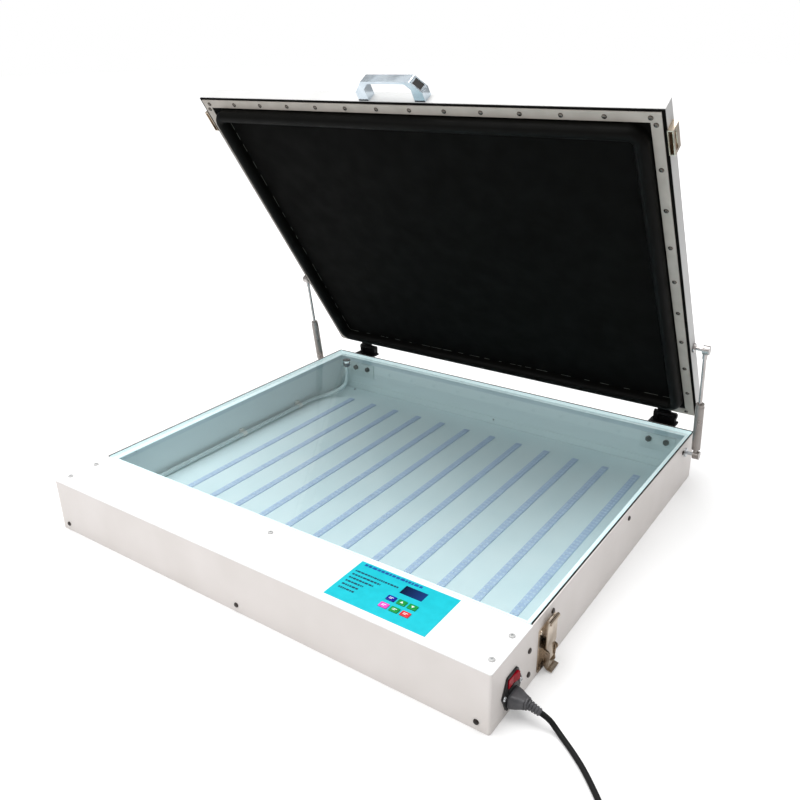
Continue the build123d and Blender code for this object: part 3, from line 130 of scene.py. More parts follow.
def turnedForm(profile, steps):
    # profile is (radius, height) pairs, turned about local Z; a radius of 0 becomes a tiny one
    rings = []
    for radius, height in profile:
        radius = max(radius, 1e-6)
        rings.append([
            Vector((radius * math.cos(2 * math.pi * k / steps),
                    radius * math.sin(2 * math.pi * k / steps), height))
            for k in range(steps)
        ])
    return ringLoft(rings)


def facingMatrix(place, direction):
    turn = Vector(direction).to_track_quat("Z", "Y").to_matrix().to_4x4()
    return Matrix.Translation(place) @ turn


def gather(parts):
    # joins (verts, faces, matrix) parts to one verts and faces list
    verts, faces = [], []
    for partVerts, partFaces, matrix in parts:
        start = len(verts)
        verts += [matrix @ Vector(v) for v in partVerts]
        faces += [tuple(start + i for i in face) for face in partFaces]
    return verts, faces


def boxForm(size, bevel=0.0):
    # a plain box, or one whose top edges are bevelled
    x, y, z = (s / 2 for s in size)
    if not bevel:
        verts = [(sx * x, sy * y, sz * z) for sz in (-1, 1) for sy in (-1, 1) for sx in (-1, 1)]
        faces = [(0, 2, 3, 1), (4, 5, 7, 6), (0, 1, 5, 4), (2, 6, 7, 3), (0, 4, 6, 2), (1, 3, 7, 5)]
        return verts, faces
    rings = []
    for height, inset in ((-z, 0), (z - bevel, 0), (z, bevel)):
        a, b = x - inset, y - inset
        rings.append([(-a, -b, height), (a, -b, height), (a, b, height), (-a, b, height)])
    return ringLoft(rings)


def linear(colour):
    # sRGB hex to Blender's linear colour, by the standard's own curve
    channels = [int(colour[i:i + 2], 16) / 255 for i in (1, 3, 5)]
    flat = [c / 12.92 if c <= 0.04045 else ((c + 0.055) / 1.055) ** 2.4 for c in channels]
    return flat + [1.0]


def addNode(tree, kind, settings=None, inputs=None):
    node = tree.nodes.new(kind)
    for key, value in (settings or {}).items():
        setattr(node, key, value)
    for key, value in (inputs or {}).items():
        if isinstance(value, bpy.types.NodeSocket):
            tree.links.new(value, node.inputs[key])
        else:
            node.inputs[key].default_value = value
    return node


def newSurface(name, colour, roughness, metallic=0.0):
    material = bpy.data.materials.new(name)
    material.use_nodes = True
    tree = material.node_tree
    shader = tree.nodes["Principled BSDF"]
    shader.inputs["Base Color"].default_value = linear(colour)
    shader.inputs["Roughness"].default_value = roughness
    shader.inputs["Metallic"].default_value = metallic
    place = addNode(tree, "ShaderNodeTexCoord").outputs["Object"]
    return material, tree, shader, place


def mottle(tree, shader, place, light, dark, sizeMm, low=0.35, high=0.65, detail=4.0):
    # base colour that drifts between two shades over sizeMm
    noise = addNode(tree, "ShaderNodeTexNoise", None, {
        "Vector": place, "Scale": 1000 / sizeMm, "Detail": detail})
    ramp = addNode(tree, "ShaderNodeValToRGB", None, {"Fac": noise.outputs["Fac"]})
    ramp.color_ramp.elements[0].position = low
    ramp.color_ramp.elements[0].color = linear(dark)
    ramp.color_ramp.elements[1].position = high
    ramp.color_ramp.elements[1].color = linear(light)
    tree.links.new(ramp.outputs["Color"], shader.inputs["Base Color"])
    return ramp.outputs["Color"]


def grain(tree, shader, place, sizeMm, depthMm, strength=1.0, detail=3.0, stretch=(1, 1, 1)):
    # bump of the given grain size and depth, drawn out where stretch is above 1
    mapped = addNode(tree, "ShaderNodeMapping", None, {"Vector": place, "Scale": stretch})
    noise = addNode(tree, "ShaderNodeTexNoise", None, {
        "Vector": mapped.outputs["Vector"], "Scale": 1000 / sizeMm, "Detail": detail})
    bump = addNode(tree, "ShaderNodeBump", None, {
        "Height": noise.outputs["Fac"], "Distance": depthMm * mm, "Strength": strength})
    tree.links.new(bump.outputs["Normal"], shader.inputs["Normal"])


def roughDrift(tree, shader, place, low, high, sizeMm):
    # handling and wiping leave some spots shinier than others
    noise = addNode(tree, "ShaderNodeTexNoise", None, {
        "Vector": place, "Scale": 1000 / sizeMm, "Detail": 3.0})
    spread = addNode(tree, "ShaderNodeMapRange", None, {
        "Value": noise.outputs["Fac"], "From Min": 0.3, "From Max": 0.7,
        "To Min": low, "To Max": high})
    tree.links.new(spread.outputs["Result"], shader.inputs["Roughness"])


def powderCoat(name, light, dark, roughness):
    # polyester powder coat on folded steel: slight orange peel, drawn 2.5 mm coarse to show
    material, tree, shader, place = newSurface(name, light, roughness)
    mottle(tree, shader, place, light, dark, 90, 0.3, 0.7, 2.0)
    grain(tree, shader, place, 2.5, 0.03, 0.35)
    roughDrift(tree, shader, place, roughness - 0.05, roughness + 0.06, 60)
    return material


caseInside = {"limits": {"X": 0.4088, "Y": 0.3738, "Z": 0.0892}, "cast": "#E2ECEB"}


def casePaint():
    # the same coat inside and out; its inner faces take the glass's blue-green cast
    material = powderCoat("casePaint", "#E9E3E0", "#E1DBD7", 0.42)
    tree = material.node_tree
    shader = tree.nodes["Principled BSDF"]
    outer = shader.inputs["Base Color"].links[0].from_socket
    place = addNode(tree, "ShaderNodeTexCoord").outputs["Object"]
    parts = addNode(tree, "ShaderNodeSeparateXYZ", None, {"Vector": place})
    inside = None
    for axis, limit in caseInside["limits"].items():
        size = addNode(tree, "ShaderNodeMath", {"operation": "ABSOLUTE"}, {0: parts.outputs[axis]})
        under = addNode(tree, "ShaderNodeMath", {"operation": "LESS_THAN"}, {
            0: size.outputs[0], 1: limit})
        if inside:
            under = addNode(tree, "ShaderNodeMath", {"operation": "MULTIPLY"}, {
                0: inside, 1: under.outputs[0]})
        inside = under.outputs[0]
    cast = addNode(tree, "ShaderNodeMix", {"data_type": "RGBA"}, {0: inside})
    tree.links.new(outer, cast.inputs[6])
    cast.inputs[7].default_value = linear(caseInside["cast"])
    tree.links.new(cast.outputs[2], shader.inputs["Base Color"])
    return material


def brushedMetal(name, light, dark, roughness, stretch=(1, 14, 1), sizeMm=1.2, depthMm=0.006,
                 metallic=1.0):
    # drawn, brushed or plated metal: hairlines along one way, or none where stretch is even
    material, tree, shader, place = newSurface(name, light, roughness, metallic)
    mottle(tree, shader, place, light, dark, 26, 0.25, 0.75, 2.0)
    grain(tree, shader, place, sizeMm, depthMm, 0.3, 2.0, stretch)
    roughDrift(tree, shader, place, roughness - 0.04, roughness + 0.06, 30)
    return material


def mouldedPlastic(name, light, dark, roughness, grainMm=0.9, specular=0.5):
    # injection moulded ABS, and film, ink and hose like it: fine grain, drawn coarse, a soft sheen
    material, tree, shader, place = newSurface(name, light, roughness)
    shader.inputs["Specular IOR Level"].default_value = specular
    mottle(tree, shader, place, light, dark, 12)
    grain(tree, shader, place, grainMm, 0.02, 0.25)
    return material


def mattBlack(name, light, dark, roughness, specular=0.12):
    # neoprene, cord rubber and stoved enamel: dull, a little dusty, grain drawn 1.6 mm coarse
    material, tree, shader, place = newSurface(name, light, roughness)
    shader.inputs["Specular IOR Level"].default_value = specular
    mottle(tree, shader, place, light, dark, 45, 0.3, 0.75, 6.0)
    grain(tree, shader, place, 1.6, 0.04, 0.3)
    roughDrift(tree, shader, place, roughness - 0.06, roughness + 0.08, 30)
    return material


glass = {
    "ior": 1.52, "clear": "#F9FDFE", "edge": "#F2FEFE", "paintedEdgeGlow": "#E4F8F8", "paintedEdgeGlowLevel": 0.3,
    "smearMm": 160, "wiped": 0.01, "smeared": 0.05, "edgeTurn": 0.7,
}


def floatGlass():
    # 6 mm float glass: a faint blue-green cast, a mirror at low angles, cyan-white ground edges
    #                   that carry a painted glow
    material, tree, shader, place = newSurface("floatGlass", glass["edge"], 0.3)
    # the edges' emission is painted light, a glow standing in for what the ground edges scatter
    shader.inputs["Emission Color"].default_value = linear(glass["paintedEdgeGlow"])
    shader.inputs["Emission Strength"].default_value = glass["paintedEdgeGlowLevel"]
    smear = addNode(tree, "ShaderNodeTexNoise", None, {
        "Vector": place, "Scale": 1000 / glass["smearMm"], "Detail": 2.0})
    wipe = addNode(tree, "ShaderNodeMapRange", None, {
        "Value": smear.outputs["Fac"], "From Min": 0.35, "From Max": 0.7,
        "To Min": glass["wiped"], "To Max": glass["smeared"]})
    clear = addNode(tree, "ShaderNodeBsdfTransparent", None, {"Color": linear(glass["clear"])})
    mirror = addNode(tree, "ShaderNodeBsdfGlossy", None, {"Roughness": wipe.outputs["Result"]})
    fresnel = addNode(tree, "ShaderNodeFresnel", None, {"IOR": glass["ior"]})
    surface = addNode(tree, "ShaderNodeNewGeometry")
    # only the side that a ray enters by mirrors, so that the pane doesn't reflect twice
    entering = addNode(tree, "ShaderNodeMath", {"operation": "SUBTRACT"}, {
        0: 1.0, 1: surface.outputs["Backfacing"]})
    bounce = addNode(tree, "ShaderNodeMath", {"operation": "MULTIPLY"}, {
        0: fresnel.outputs[0], 1: entering.outputs[0]})
    pane = addNode(tree, "ShaderNodeMixShader", None, {
        0: bounce.outputs[0], 1: clear.outputs[0], 2: mirror.outputs[0]})
    parts = addNode(tree, "ShaderNodeSeparateXYZ", None, {"Vector": surface.outputs["Normal"]})
    upright = addNode(tree, "ShaderNodeMath", {"operation": "ABSOLUTE"}, {0: parts.outputs["Z"]})
    edge = addNode(tree, "ShaderNodeMath", {"operation": "LESS_THAN"}, {
        0: upright.outputs[0], 1: glass["edgeTurn"]})
    whole = addNode(tree, "ShaderNodeMixShader", None, {
        0: edge.outputs[0], 1: pane.outputs[0], 2: shader.outputs[0]})
    tree.links.new(whole.outputs[0], tree.nodes["Material Output"].inputs["Surface"])
    return material


tapePaintedGlow = {"glow": "#EAF8F8", "glowLevel": 0.28}


def foamTape():
    # closed-cell foam under the pane: pale, with a painted glow that stands in for the light the
    # pane's edge scatters
    material = mouldedPlastic("foamTape", "#F6FBFB", "#EAF4F4", 0.8, 1.5)
    shader = material.node_tree.nodes["Principled BSDF"]
    # emission here is a painted glow: the foam is no lamp
    shader.inputs["Emission Color"].default_value = linear(tapePaintedGlow["glow"])
    shader.inputs["Emission Strength"].default_value = tapePaintedGlow["glowLevel"]
    return material


backing = {"middleY": 0.3725, "paintedHalf": 1.15 * mm, "bare": "#5C605C"}


def backingSteel():
    # painted backing plates with dull zinc nuts and bolts standing out of them on both sides; the
    # paint is drawn blue-green, the glass's cast painted in
    material, tree, shader, place = newSurface("backingSteel", "#DCE6E4", 0.45)
    painted = mottle(tree, shader, place, "#E0EAE8", "#D4DFDD", 40)
    parts = addNode(tree, "ShaderNodeSeparateXYZ", None, {"Vector": place})
    off = addNode(tree, "ShaderNodeMath", {"operation": "SUBTRACT"}, {
        0: parts.outputs["Y"], 1: backing["middleY"]})
    depth = addNode(tree, "ShaderNodeMath", {"operation": "ABSOLUTE"}, {0: off.outputs[0]})
    bare = addNode(tree, "ShaderNodeMath", {"operation": "GREATER_THAN"}, {
        0: depth.outputs[0], 1: backing["paintedHalf"]})
    tone = addNode(tree, "ShaderNodeMix", {"data_type": "RGBA"}, {0: bare.outputs[0]})
    tree.links.new(painted, tone.inputs[6])
    tone.inputs[7].default_value = linear(backing["bare"])
    tree.links.new(tone.outputs[2], shader.inputs["Base Color"])
    grain(tree, shader, place, 2.0, 0.02, 0.3)
    return material


window = {"near": "#0E1428", "far": "#20407E"}


def displayGlass():
    # character display behind a dark window: it turns bluer from left to right
    material, tree, shader, place = newSurface("displayGlass", "#10182E", 0.12)
    low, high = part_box("lcd_display")
    parts = addNode(tree, "ShaderNodeSeparateXYZ", None, {"Vector": place})
    across = addNode(tree, "ShaderNodeMapRange", None, {
        "Value": parts.outputs["X"], "From Min": low.x, "From Max": high.x,
        "To Min": 0.0, "To Max": 1.0})
    ramp = addNode(tree, "ShaderNodeValToRGB", None, {"Fac": across.outputs["Result"]})
    ramp.color_ramp.elements[0].color = linear(window["near"])
    ramp.color_ramp.elements[1].color = linear(window["far"])
    tree.links.new(ramp.outputs["Color"], shader.inputs["Base Color"])
    return material


finishes = {
    "casePaint": casePaint(),
    "deckPaint": powderCoat("deckPaint", "#FAFAFA", "#F5F5F5", 0.38),
    # inner parts and floor plate: white coat drawn blue-green, the inner parts a little darker, the
    # cast of light through the glass painted in
    "innerPaint": powderCoat("innerPaint", "#D6E3E5", "#CCDBDE", 0.5),
    "bedPaint": powderCoat("bedPaint", "#F0FAFA", "#E8F5F6", 0.5),
    # the lid tubes' pale coat drawn greyer than it is: painted shade for their side faces
    "tubePaint": powderCoat("tubePaint", "#D2D2D1", "#C9C9C8", 0.38),
    "glassPane": floatGlass(),
    "foamTape": foamTape(),
    "backingSteel": backingSteel(),
    "display": displayGlass(),
    "overlayFilm": mouldedPlastic("overlayFilm", "#1DC4D3", "#19BCCB", 0.36, 0.7, 0.3),
    "circuitBoard": mouldedPlastic("circuitBoard", "#1C5A34", "#15492A", 0.45),
    "inletPlastic": mouldedPlastic("inletPlastic", "#1A1A1B", "#121213", 0.42),
    "plugRubber": mouldedPlastic("plugRubber", "#545457", "#464649", 0.42),
    "rockerRed": mouldedPlastic("rockerRed", "#AE0722", "#92051A", 0.3, 0.9, 0.12),
    "zinc": brushedMetal("zinc", "#DCDFE1", "#CBCFD2", 0.36, (1, 1, 1), 3.0),
    "pumpPlastic": mouldedPlastic("pumpPlastic", "#2C2D30", "#222326", 0.5),
    "chromedBrass": brushedMetal("chromedBrass", "#9A9EA0", "#7E8284", 0.08, (1, 1, 1), 4.0),
    "siliconeHose": mouldedPlastic("siliconeHose", "#DCE7E6", "#CFDDDC", 0.3),
    "nylon": mouldedPlastic("nylon", "#F2F1EA", "#E6E5DE", 0.45),
    "ledBoard": mouldedPlastic("ledBoard", "#C9D8EE", "#BFCFE8", 0.5),
    "blackOxide": brushedMetal("blackOxide", "#5C5653", "#3E3937", 0.35, (1, 1, 1), 2.0),
    "hingeSteel": mattBlack("hingeSteel", "#070708", "#050506", 0.5, 0.2),
    "strutSteel": brushedMetal("strutSteel", "#A9A39F", "#8E8884", 0.24, (1, 1, 8), 1.4,
                               0.004, 0.7),
    "groundRod": brushedMetal("groundRod", "#C9C4C2", "#B3AEAC", 0.18, (8, 8, 1), 1.0),
    # nickel plate: the brown cast is a painted reflection of warm surroundings, and the wide
    # pale-to-dark spread stands in for highlights
    "nickel": brushedMetal("nickel", "#EBDDCB", "#87745F", 0.2, (1, 1, 9), 1.4),
    "rubberSheet": mattBlack("rubberSheet", "#050504", "#030302", 0.8, 0.08),
    "beadRubber": mattBlack("beadRubber", "#0C0C0A", "#080807", 0.45, 0.06),
    "millAluminium": brushedMetal("millAluminium", "#BDB6AE", "#AFA9A1", 0.5, (1, 10, 1), 1.6,
                                  0.006, 0.35),
    "domedRivet": brushedMetal("domedRivet", "#746E68", "#55504B", 0.2, (1, 1, 1), 2.0),
    "anodised": brushedMetal("anodised", "#E2ECF4", "#C6D2DC", 0.2, (8, 1, 1), 1.0, 0.003),
    "capPlastic": mouldedPlastic("capPlastic", "#26221F", "#1A1715", 0.4),
    "cordRubber": mattBlack("cordRubber", "#1E1E1E", "#151515", 0.45),
    "keyNavy": mouldedPlastic("keyNavy", "#1420A0", "#101A8A", 0.3),
    "keyGreen": mouldedPlastic("keyGreen", "#12A046", "#0E8E3C", 0.3),
    "keyPink": mouldedPlastic("keyPink", "#F050C4", "#E544B6", 0.3),
    "keyRed": mouldedPlastic("keyRed", "#E2343E", "#D22A34", 0.3),
    "inkWhite": mouldedPlastic("inkWhite", "#F4F8F8", "#ECF2F2", 0.4),
    "inkDark": mouldedPlastic("inkDark", "#0A4560", "#083B55", 0.4),
    "inkBlue": mouldedPlastic("inkBlue", "#0C5AA8", "#0A4E98", 0.4),
    "oldGlue": mouldedPlastic("oldGlue", "#6E716B", "#4E514C", 0.6),
    "chipWhite": mouldedPlastic("chipWhite", "#DEE9F6", "#D3E1F0", 0.45),
    # the deck's white screw heads drawn grey: painted shade that shows their form
    "deckScrew": mouldedPlastic("deckScrew", "#CFCFCE", "#BDBDBC", 0.35),
}
print("materials made:", len(finishes))

nodeFinish = {
    "base_case": "casePaint", "bottom_pan": "casePaint", "deck_cover": "deckPaint",
    "front_partition": "innerPaint", "glass_ledges": "innerPaint", "floor_plate": "bedPaint",
    "glass_seal": "foamTape", "glass_pane": "glassPane", "control_overlay": "overlayFilm",
    "lcd_display": "display", "control_board": "circuitBoard", "power_inlet": "inletPlastic",
    "power_rocker": "rockerRed", "power_supply": "zinc", "vacuum_pump": "pumpPlastic",
    "vacuum_port": "chromedBrass", "vacuum_hose": "siliconeHose", "hose_clips": "nylon",
    "led_strips": "ledBoard", "case_screws": "blackOxide", "deck_inlet_floor_screws": "zinc",
    "hinge_backing": "backingSteel",
    "hinge_bracket_right": "hingeSteel", "hinge_bracket_left": "hingeSteel",
    "hinge_leaf_right": "hingeSteel", "hinge_leaf_left": "hingeSteel", "strut_base_studs": "zinc",
    "strut_cylinder_right": "strutSteel", "strut_cylinder_left": "strutSteel",
    "strut_rod_right": "groundRod", "strut_rod_left": "groundRod",
    "latch_plate_right": "nickel", "latch_plate_left": "nickel", "latch_lever_right": "nickel",
    "latch_lever_left": "nickel", "latch_hook_right": "nickel", "latch_hook_left": "nickel",
    "keeper_right": "nickel", "keeper_left": "nickel", "lid_tube_front": "tubePaint",
    "lid_tube_back": "tubePaint", "lid_tube_left": "tubePaint", "lid_tube_right": "tubePaint",
    "rubber_sheet": "rubberSheet",
    "seal_bead": "beadRubber", "clamp_strips": "millAluminium", "strip_rivets": "domedRivet",
    "lid_handle": "anodised", "handle_caps": "capPlastic", "lid_bolts": "zinc",
    "mains_connector": "plugRubber", "mains_lead": "cordRubber", "lead_coil": "cordRubber",
    "mains_plug": "plugRubber", "panel_key_1": "keyNavy", "panel_key_2": "keyGreen",
    "panel_key_3": "keyGreen", "panel_key_4": "keyPink", "panel_key_5": "keyGreen",
    "panel_key_6": "keyRed",
}


def dressNodes():
    for name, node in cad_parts.items():
        finish = finishes[nodeFinish[name]]
        node.data.materials.clear()
        node.data.materials.append(finish)
        node.data.polygons.foreach_set("material_index", [0] * len(node.data.polygons))
        node.data.polygons.foreach_set("use_smooth", [True] * len(node.data.polygons))
        node.data.set_sharp_from_angle(angle=math.radians(30))


dressNodes()
print("frame dressed")


lead = {
    "diameter": 7 * mm, "length": 1.8,
    "collar": (0.434, -0.3265, 0.023), "reliefLength": 18 * mm, "reliefDropDeg": 16,
    "firstRun": 10.5 * mm,
    "coilCentre": (0.650, -0.4197), "coilInner": 27 * mm, "coilPitch": 8.5 * mm,
    "coilLift": 8 * mm, "coilTurns": 2.75, "coilStartDeg": 224, "pointsPerTurn": 16,
    "runIn": (37 * mm, 7 * mm), "runOut": (7 * mm, 35 * mm),      # straight, at the coil's ends
}
reliefDrop = math.radians(lead["reliefDropDeg"])
reliefWay = Vector((math.cos(reliefDrop), 0, -math.sin(reliefDrop)))
reliefEnd = Vector(lead["collar"]) + reliefWay * lead["reliefLength"]
leadRoute = [
    (0.4710, -0.3280, 0.0075), (0.4830, -0.3340, 0.0035), (0.5000, -0.3455, 0.0035),
    (0.5240, -0.3645, 0.0035), (0.5610, -0.4020, 0.0035),
]
tailRoute = [
    (0.6382, -0.5063, 0.0065), (0.6198, -0.5247, 0.0035), (0.5898, -0.5247, 0.0035),
    (0.5570, -0.5247, 0.01105), (0.5400, -0.5247, 0.01105),
]


def coilPoint(turn):
    turns = lead["coilTurns"]
    inner = turns - turn if turn <= turns else max(turn - turns - 0.5, 0.0)
    radius = lead["coilInner"] + lead["coilPitch"] * inner
    share = min(max((turn - turns) / 0.5, 0.0), 1.0)
    height = lead["diameter"] / 2 + lead["coilLift"] * share * share * (3 - 2 * share)
    angle = math.radians(lead["coilStartDeg"]) + 2 * math.pi * turn
    x, y = lead["coilCentre"]
    # a control point stands a little outside the curve that it pulls
    radius /= math.cos(math.pi / lead["pointsPerTurn"]) ** 0.5
    return Vector((x + radius * math.cos(angle), y + radius * math.sin(angle), height))


def makeLead():
    turns = 2 * lead["coilTurns"] + 0.5
    count = int(turns * lead["pointsPerTurn"])
    coil = [coilPoint(turns * i / count) for i in range(count + 1)]
    wayIn = (coil[1] - coil[0]).normalized()
    wayOut = (coil[-1] - coil[-2]).normalized()
    points = [reliefEnd, reliefEnd + reliefWay * lead["firstRun"]] + [Vector(p) for p in leadRoute]
    points += [coil[0] - wayIn * back for back in lead["runIn"]] + coil
    points += [coil[-1] + wayOut * on for on in lead["runOut"]] + [Vector(p) for p in tailRoute]
    curve = bpy.data.curves.new("mainsLead", "CURVE")
    curve.dimensions = "3D"
    curve.bevel_depth = lead["diameter"] / 2
    curve.bevel_resolution = 5
    curve.resolution_u = 8
    curve.use_fill_caps = True
    spline = curve.splines.new("NURBS")
    spline.points.add(len(points) - 1)
    for target, point in zip(spline.points, points):
        target.co = (*point, 1)
    spline.order_u = 3
    spline.use_endpoint_u = True
    piece = addObject("mainsLead", curve, finishes["cordRubber"], "case")
    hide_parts("mains_lead", "lead_coil")
    return piece


mainsLead = makeLead()
print("lead laid")


connector = {
    "face": 0.4130, "y": -0.3265, "z": 0.023, "collarX": 0.4315,
    # mm along the plug: place, width, height
    "grip": [(0.0, 27.0, 19.0), (1.0, 27.6, 19.6), (4.0, 27.6, 19.4), (9.0, 24.5, 17.6),
             (14.0, 19.5, 15.4), (17.0, 17.0, 14.2), (18.5, 16.4, 14.0)],
    "gripCorner": 0.32,      # of the grip's smaller side
    "nose": (24.0, 16.2, 15.5), "noseY": -0.3254, "noseCorner": 3 * mm, "noseLap": 0.4 * mm,
    "collarRadius": 8.2 * mm, "collarLength": 3.4 * mm, "collarEdge": 0.8 * mm,
    "ribs": 5, "ribShare": 0.62, "ribSlope": 0.02, "ribDepth": 1.1 * mm,
    "reliefStart": 6.6 * mm, "reliefEnd": 4.7 * mm,
}


def roundedRing(x, y, z, width, height, corner, steps=6):
    ring = []
    for cy, cz, start in ((1, 1, 0), (-1, 1, 90), (-1, -1, 180), (1, -1, 270)):
        for k in range(steps + 1):
            a = math.radians(start + 90 * k / steps)
            ring.append(Vector((
                x, y + cy * (width / 2 - corner) + corner * math.cos(a),
                z + cz * (height / 2 - corner) + corner * math.sin(a))))
    return ring


def makeConnector():
    y, z = connector["y"], connector["z"]
    rings = []
    for along, width, height in connector["grip"]:
        corner = min(width, height) * connector["gripCorner"] * mm
        x = connector["face"] + along * mm
        rings.append(roundedRing(x, y, z, width * mm, height * mm, corner))
    parts = [(*ringLoft(rings), Matrix())]
    width, height, depth = (s * mm for s in connector["nose"])
    start = connector["face"] - depth
    nose = [roundedRing(x, connector["noseY"], z, width, height, connector["noseCorner"])
            for x in (start, connector["face"] + connector["noseLap"])]
    parts.append((*ringLoft(nose), Matrix()))
    collar, long = connector["collarRadius"], connector["collarLength"]
    edge = connector["collarEdge"]
    disc = turnedForm([(0, 0), (collar - edge, 0), (collar, edge), (collar, long - edge),
                       (collar - edge, long), (0, long)], 32)
    parts.append((*disc, facingMatrix((connector["collarX"], y, z), (1, 0, 0))))
    # ribbed strain relief: rings with narrow waists between them
    profile = [(0, 0)]
    length = lead["reliefLength"]
    ribs, slope, dip = connector["ribs"], connector["ribSlope"], connector["ribDepth"]
    thick, thin = connector["reliefStart"], connector["reliefEnd"]
    for i in range(ribs):
        near, far, following = i / ribs, (i + connector["ribShare"]) / ribs, (i + 1) / ribs
        steps = ((near, 0.0), (far, 0.0), (far + slope, dip), (following - slope, dip))
        for share, shrink in steps:
            radius = thick + (thin - thick) * share
            profile.append((radius - shrink, share * length))
    profile += [(thin - dip, length), (0, length)]
    parts.append((*turnedForm(profile, 32), facingMatrix(lead["collar"], reliefWay)))
    verts, faces = gather(parts)
    piece = meshPiece("mainsConnector", verts, faces, finishes["plugRubber"], "case", angle=35)
    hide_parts("mains_connector")
    return piece


connectorPiece = makeConnector()
print("connector made")


bead = {
    "outerX": 0.387, "outerY": (-0.2543, 0.3556), "width": 21 * mm, "depth": 17.3 * mm,
    "top": 0.0933, "cornerRadius": 27 * mm, "sectionSteps": 22, "cornerSteps": 14,
    "sideFullness": 0.82, "crownFullness": 0.72,      # 1 gives a half ellipse, less is squarer
    "keep": 0.17,
}


def beadPath():
    inset = bead["width"] / 2
    low = Vector((-bead["outerX"] + inset, bead["outerY"][0] + inset))
    high = Vector((bead["outerX"] - inset, bead["outerY"][1] - inset))
    radius = bead["cornerRadius"] - inset
    path = []
    corners = ((high.x, high.y, 0), (low.x, high.y, 90), (low.x, low.y, 180), (high.x, low.y, 270))
    for cx, cy, start in corners:
        ox = cx - radius * (1 if cx > 0 else -1)
        oy = cy - radius * (1 if cy > sum(bead["outerY"]) / 2 else -1)
        for k in range(bead["cornerSteps"] + 1):
            a = math.radians(start + 90 * k / bead["cornerSteps"])
            path.append((Vector((ox + radius * math.cos(a), oy + radius * math.sin(a))), a))
    return path


def makeBead():
    # D profile: flat foot on the sheet, full crown
    section = []
    steps = bead["sectionSteps"]
    half = bead["width"] / 2
    for k in range(steps + 1):
        a = math.pi * k / steps
        out = half * math.copysign(abs(math.cos(a)) ** bead["sideFullness"], math.cos(a))
        section.append((out, bead["depth"] * math.sin(a) ** bead["crownFullness"]))
    rings = []
    for centre, angle in beadPath():
        away = Vector((math.cos(angle), math.sin(angle)))
        rings.append([Vector((*(centre + away * out), bead["top"] - down))
                      for out, down in section])
    verts, faces = [], []
    count = len(section)
    for ring in rings:
        verts += ring
    for i in range(len(rings)):
        j = (i + 1) % len(rings)
        for k in range(count):
            m = (k + 1) % count
            faces.append((i * count + k, i * count + m, j * count + m, j * count + k))
    piece = meshPiece("sealBead", verts, faces, finishes["beadRubber"], "lid", openLid, angle=60)
    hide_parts("seal_bead")
    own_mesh(piece)


makeBead()
print("bead made")


# pale grey dashes left in short runs beside the bead's inner edge
beadDashes = {
    "width": 0.9 * mm, "height": 0.25 * mm, "inset": 21.6 * mm, "top": 0.0933,
    "pieceMm": (6, 26), "gapMm": (3, 30), "cornerRun": 20 * mm, "least": 2 * mm,
}


def makePaleDashes():
    rng = random.Random(5)
    path = [centre - Vector((math.cos(a), math.sin(a))) * (beadDashes["inset"] - bead["width"] / 2)
            for centre, a in beadPath()]
    path.append(path[0])
    parts = []
    for a, b in zip(path, path[1:]):
        way = (b - a).normalized()
        long, at = (b - a).length, 0.0
        while at < long:
            run = min(rng.uniform(*beadDashes["pieceMm"]) * mm, long - at)
            if long < beadDashes["cornerRun"] or run > beadDashes["least"]:
                middle = a + way * (at + run / 2)
                turn = Matrix.Rotation(math.atan2(way.y, way.x), 4, "Z")
                place = Matrix.Translation((middle.x, middle.y, beadDashes["top"] - beadDashes["height"] / 2))
                parts.append((*boxForm((run, beadDashes["width"], beadDashes["height"])), place @ turn))
            at += run + rng.uniform(*beadDashes["gapMm"]) * mm
    piece = meshPiece("beadGlue", *gather(parts), finishes["oldGlue"], "lid", openLid, smooth=False)


makePaleDashes()


# dark cord in the gap round the pane, standing in for the gap's shade
gapShade = {
    "x": (0.4072, 0.4083), "back": (0.3722, 0.3733), "front": -0.2705,
    "stem": (0.0852, 0.0899), "stemBevel": 0.4 * mm,
    "lip": (0.08995, 0.0905), "lipBevel": 0.2 * mm, "lap": 0.9 * mm,
}


def makeGapShadeCord():
    # a dark cord laid as painted shade: a stem down the gap round the pane, and a thin lip that
    # laps its edge
    (xIn, xOut), (yIn, yOut) = gapShade["x"], gapShade["back"]
    parts = []
    for (low, high), lap, bevel in (
            (gapShade["stem"], 0.0, gapShade["stemBevel"]),
            (gapShade["lip"], gapShade["lap"], gapShade["lipBevel"])):
        x0, y0 = xIn - lap, yIn - lap
        middle, height = (low + high) / 2, high - low
        run = yOut - gapShade["front"]
        for side in (-1, 1):
            place = Matrix.Translation((side * (x0 + xOut) / 2, yOut - run / 2, middle))
            parts.append((*boxForm((xOut - x0, run, height), bevel), place))
        place = Matrix.Translation((0, (y0 + yOut) / 2, middle))
        parts.append((*boxForm((2 * x0, yOut - y0, height), bevel), place))
    piece = meshPiece("glazingCord", *gather(parts), finishes["beadRubber"], "case", smooth=False)


makeGapShadeCord()


guard = {
    "x": 0.346, "y": 0.4, "z": (0.0878, 0.0937), "width": 24.4 * mm, "thick": 4 * mm,
    "bevel": 0.5 * mm,
}


def makeHingeGuards():
    # small blocks that close the windows in the hinges
    low, high = guard["z"]
    form = boxForm((guard["width"], guard["thick"], high - low), guard["bevel"])
    parts = [(*form, Matrix.Translation((s * guard["x"], guard["y"], (low + high) / 2)))
             for s in (-1, 1)]
    piece = meshPiece("hingeGuards", *gather(parts), finishes["hingeSteel"], "case", smooth=False)


makeHingeGuards()


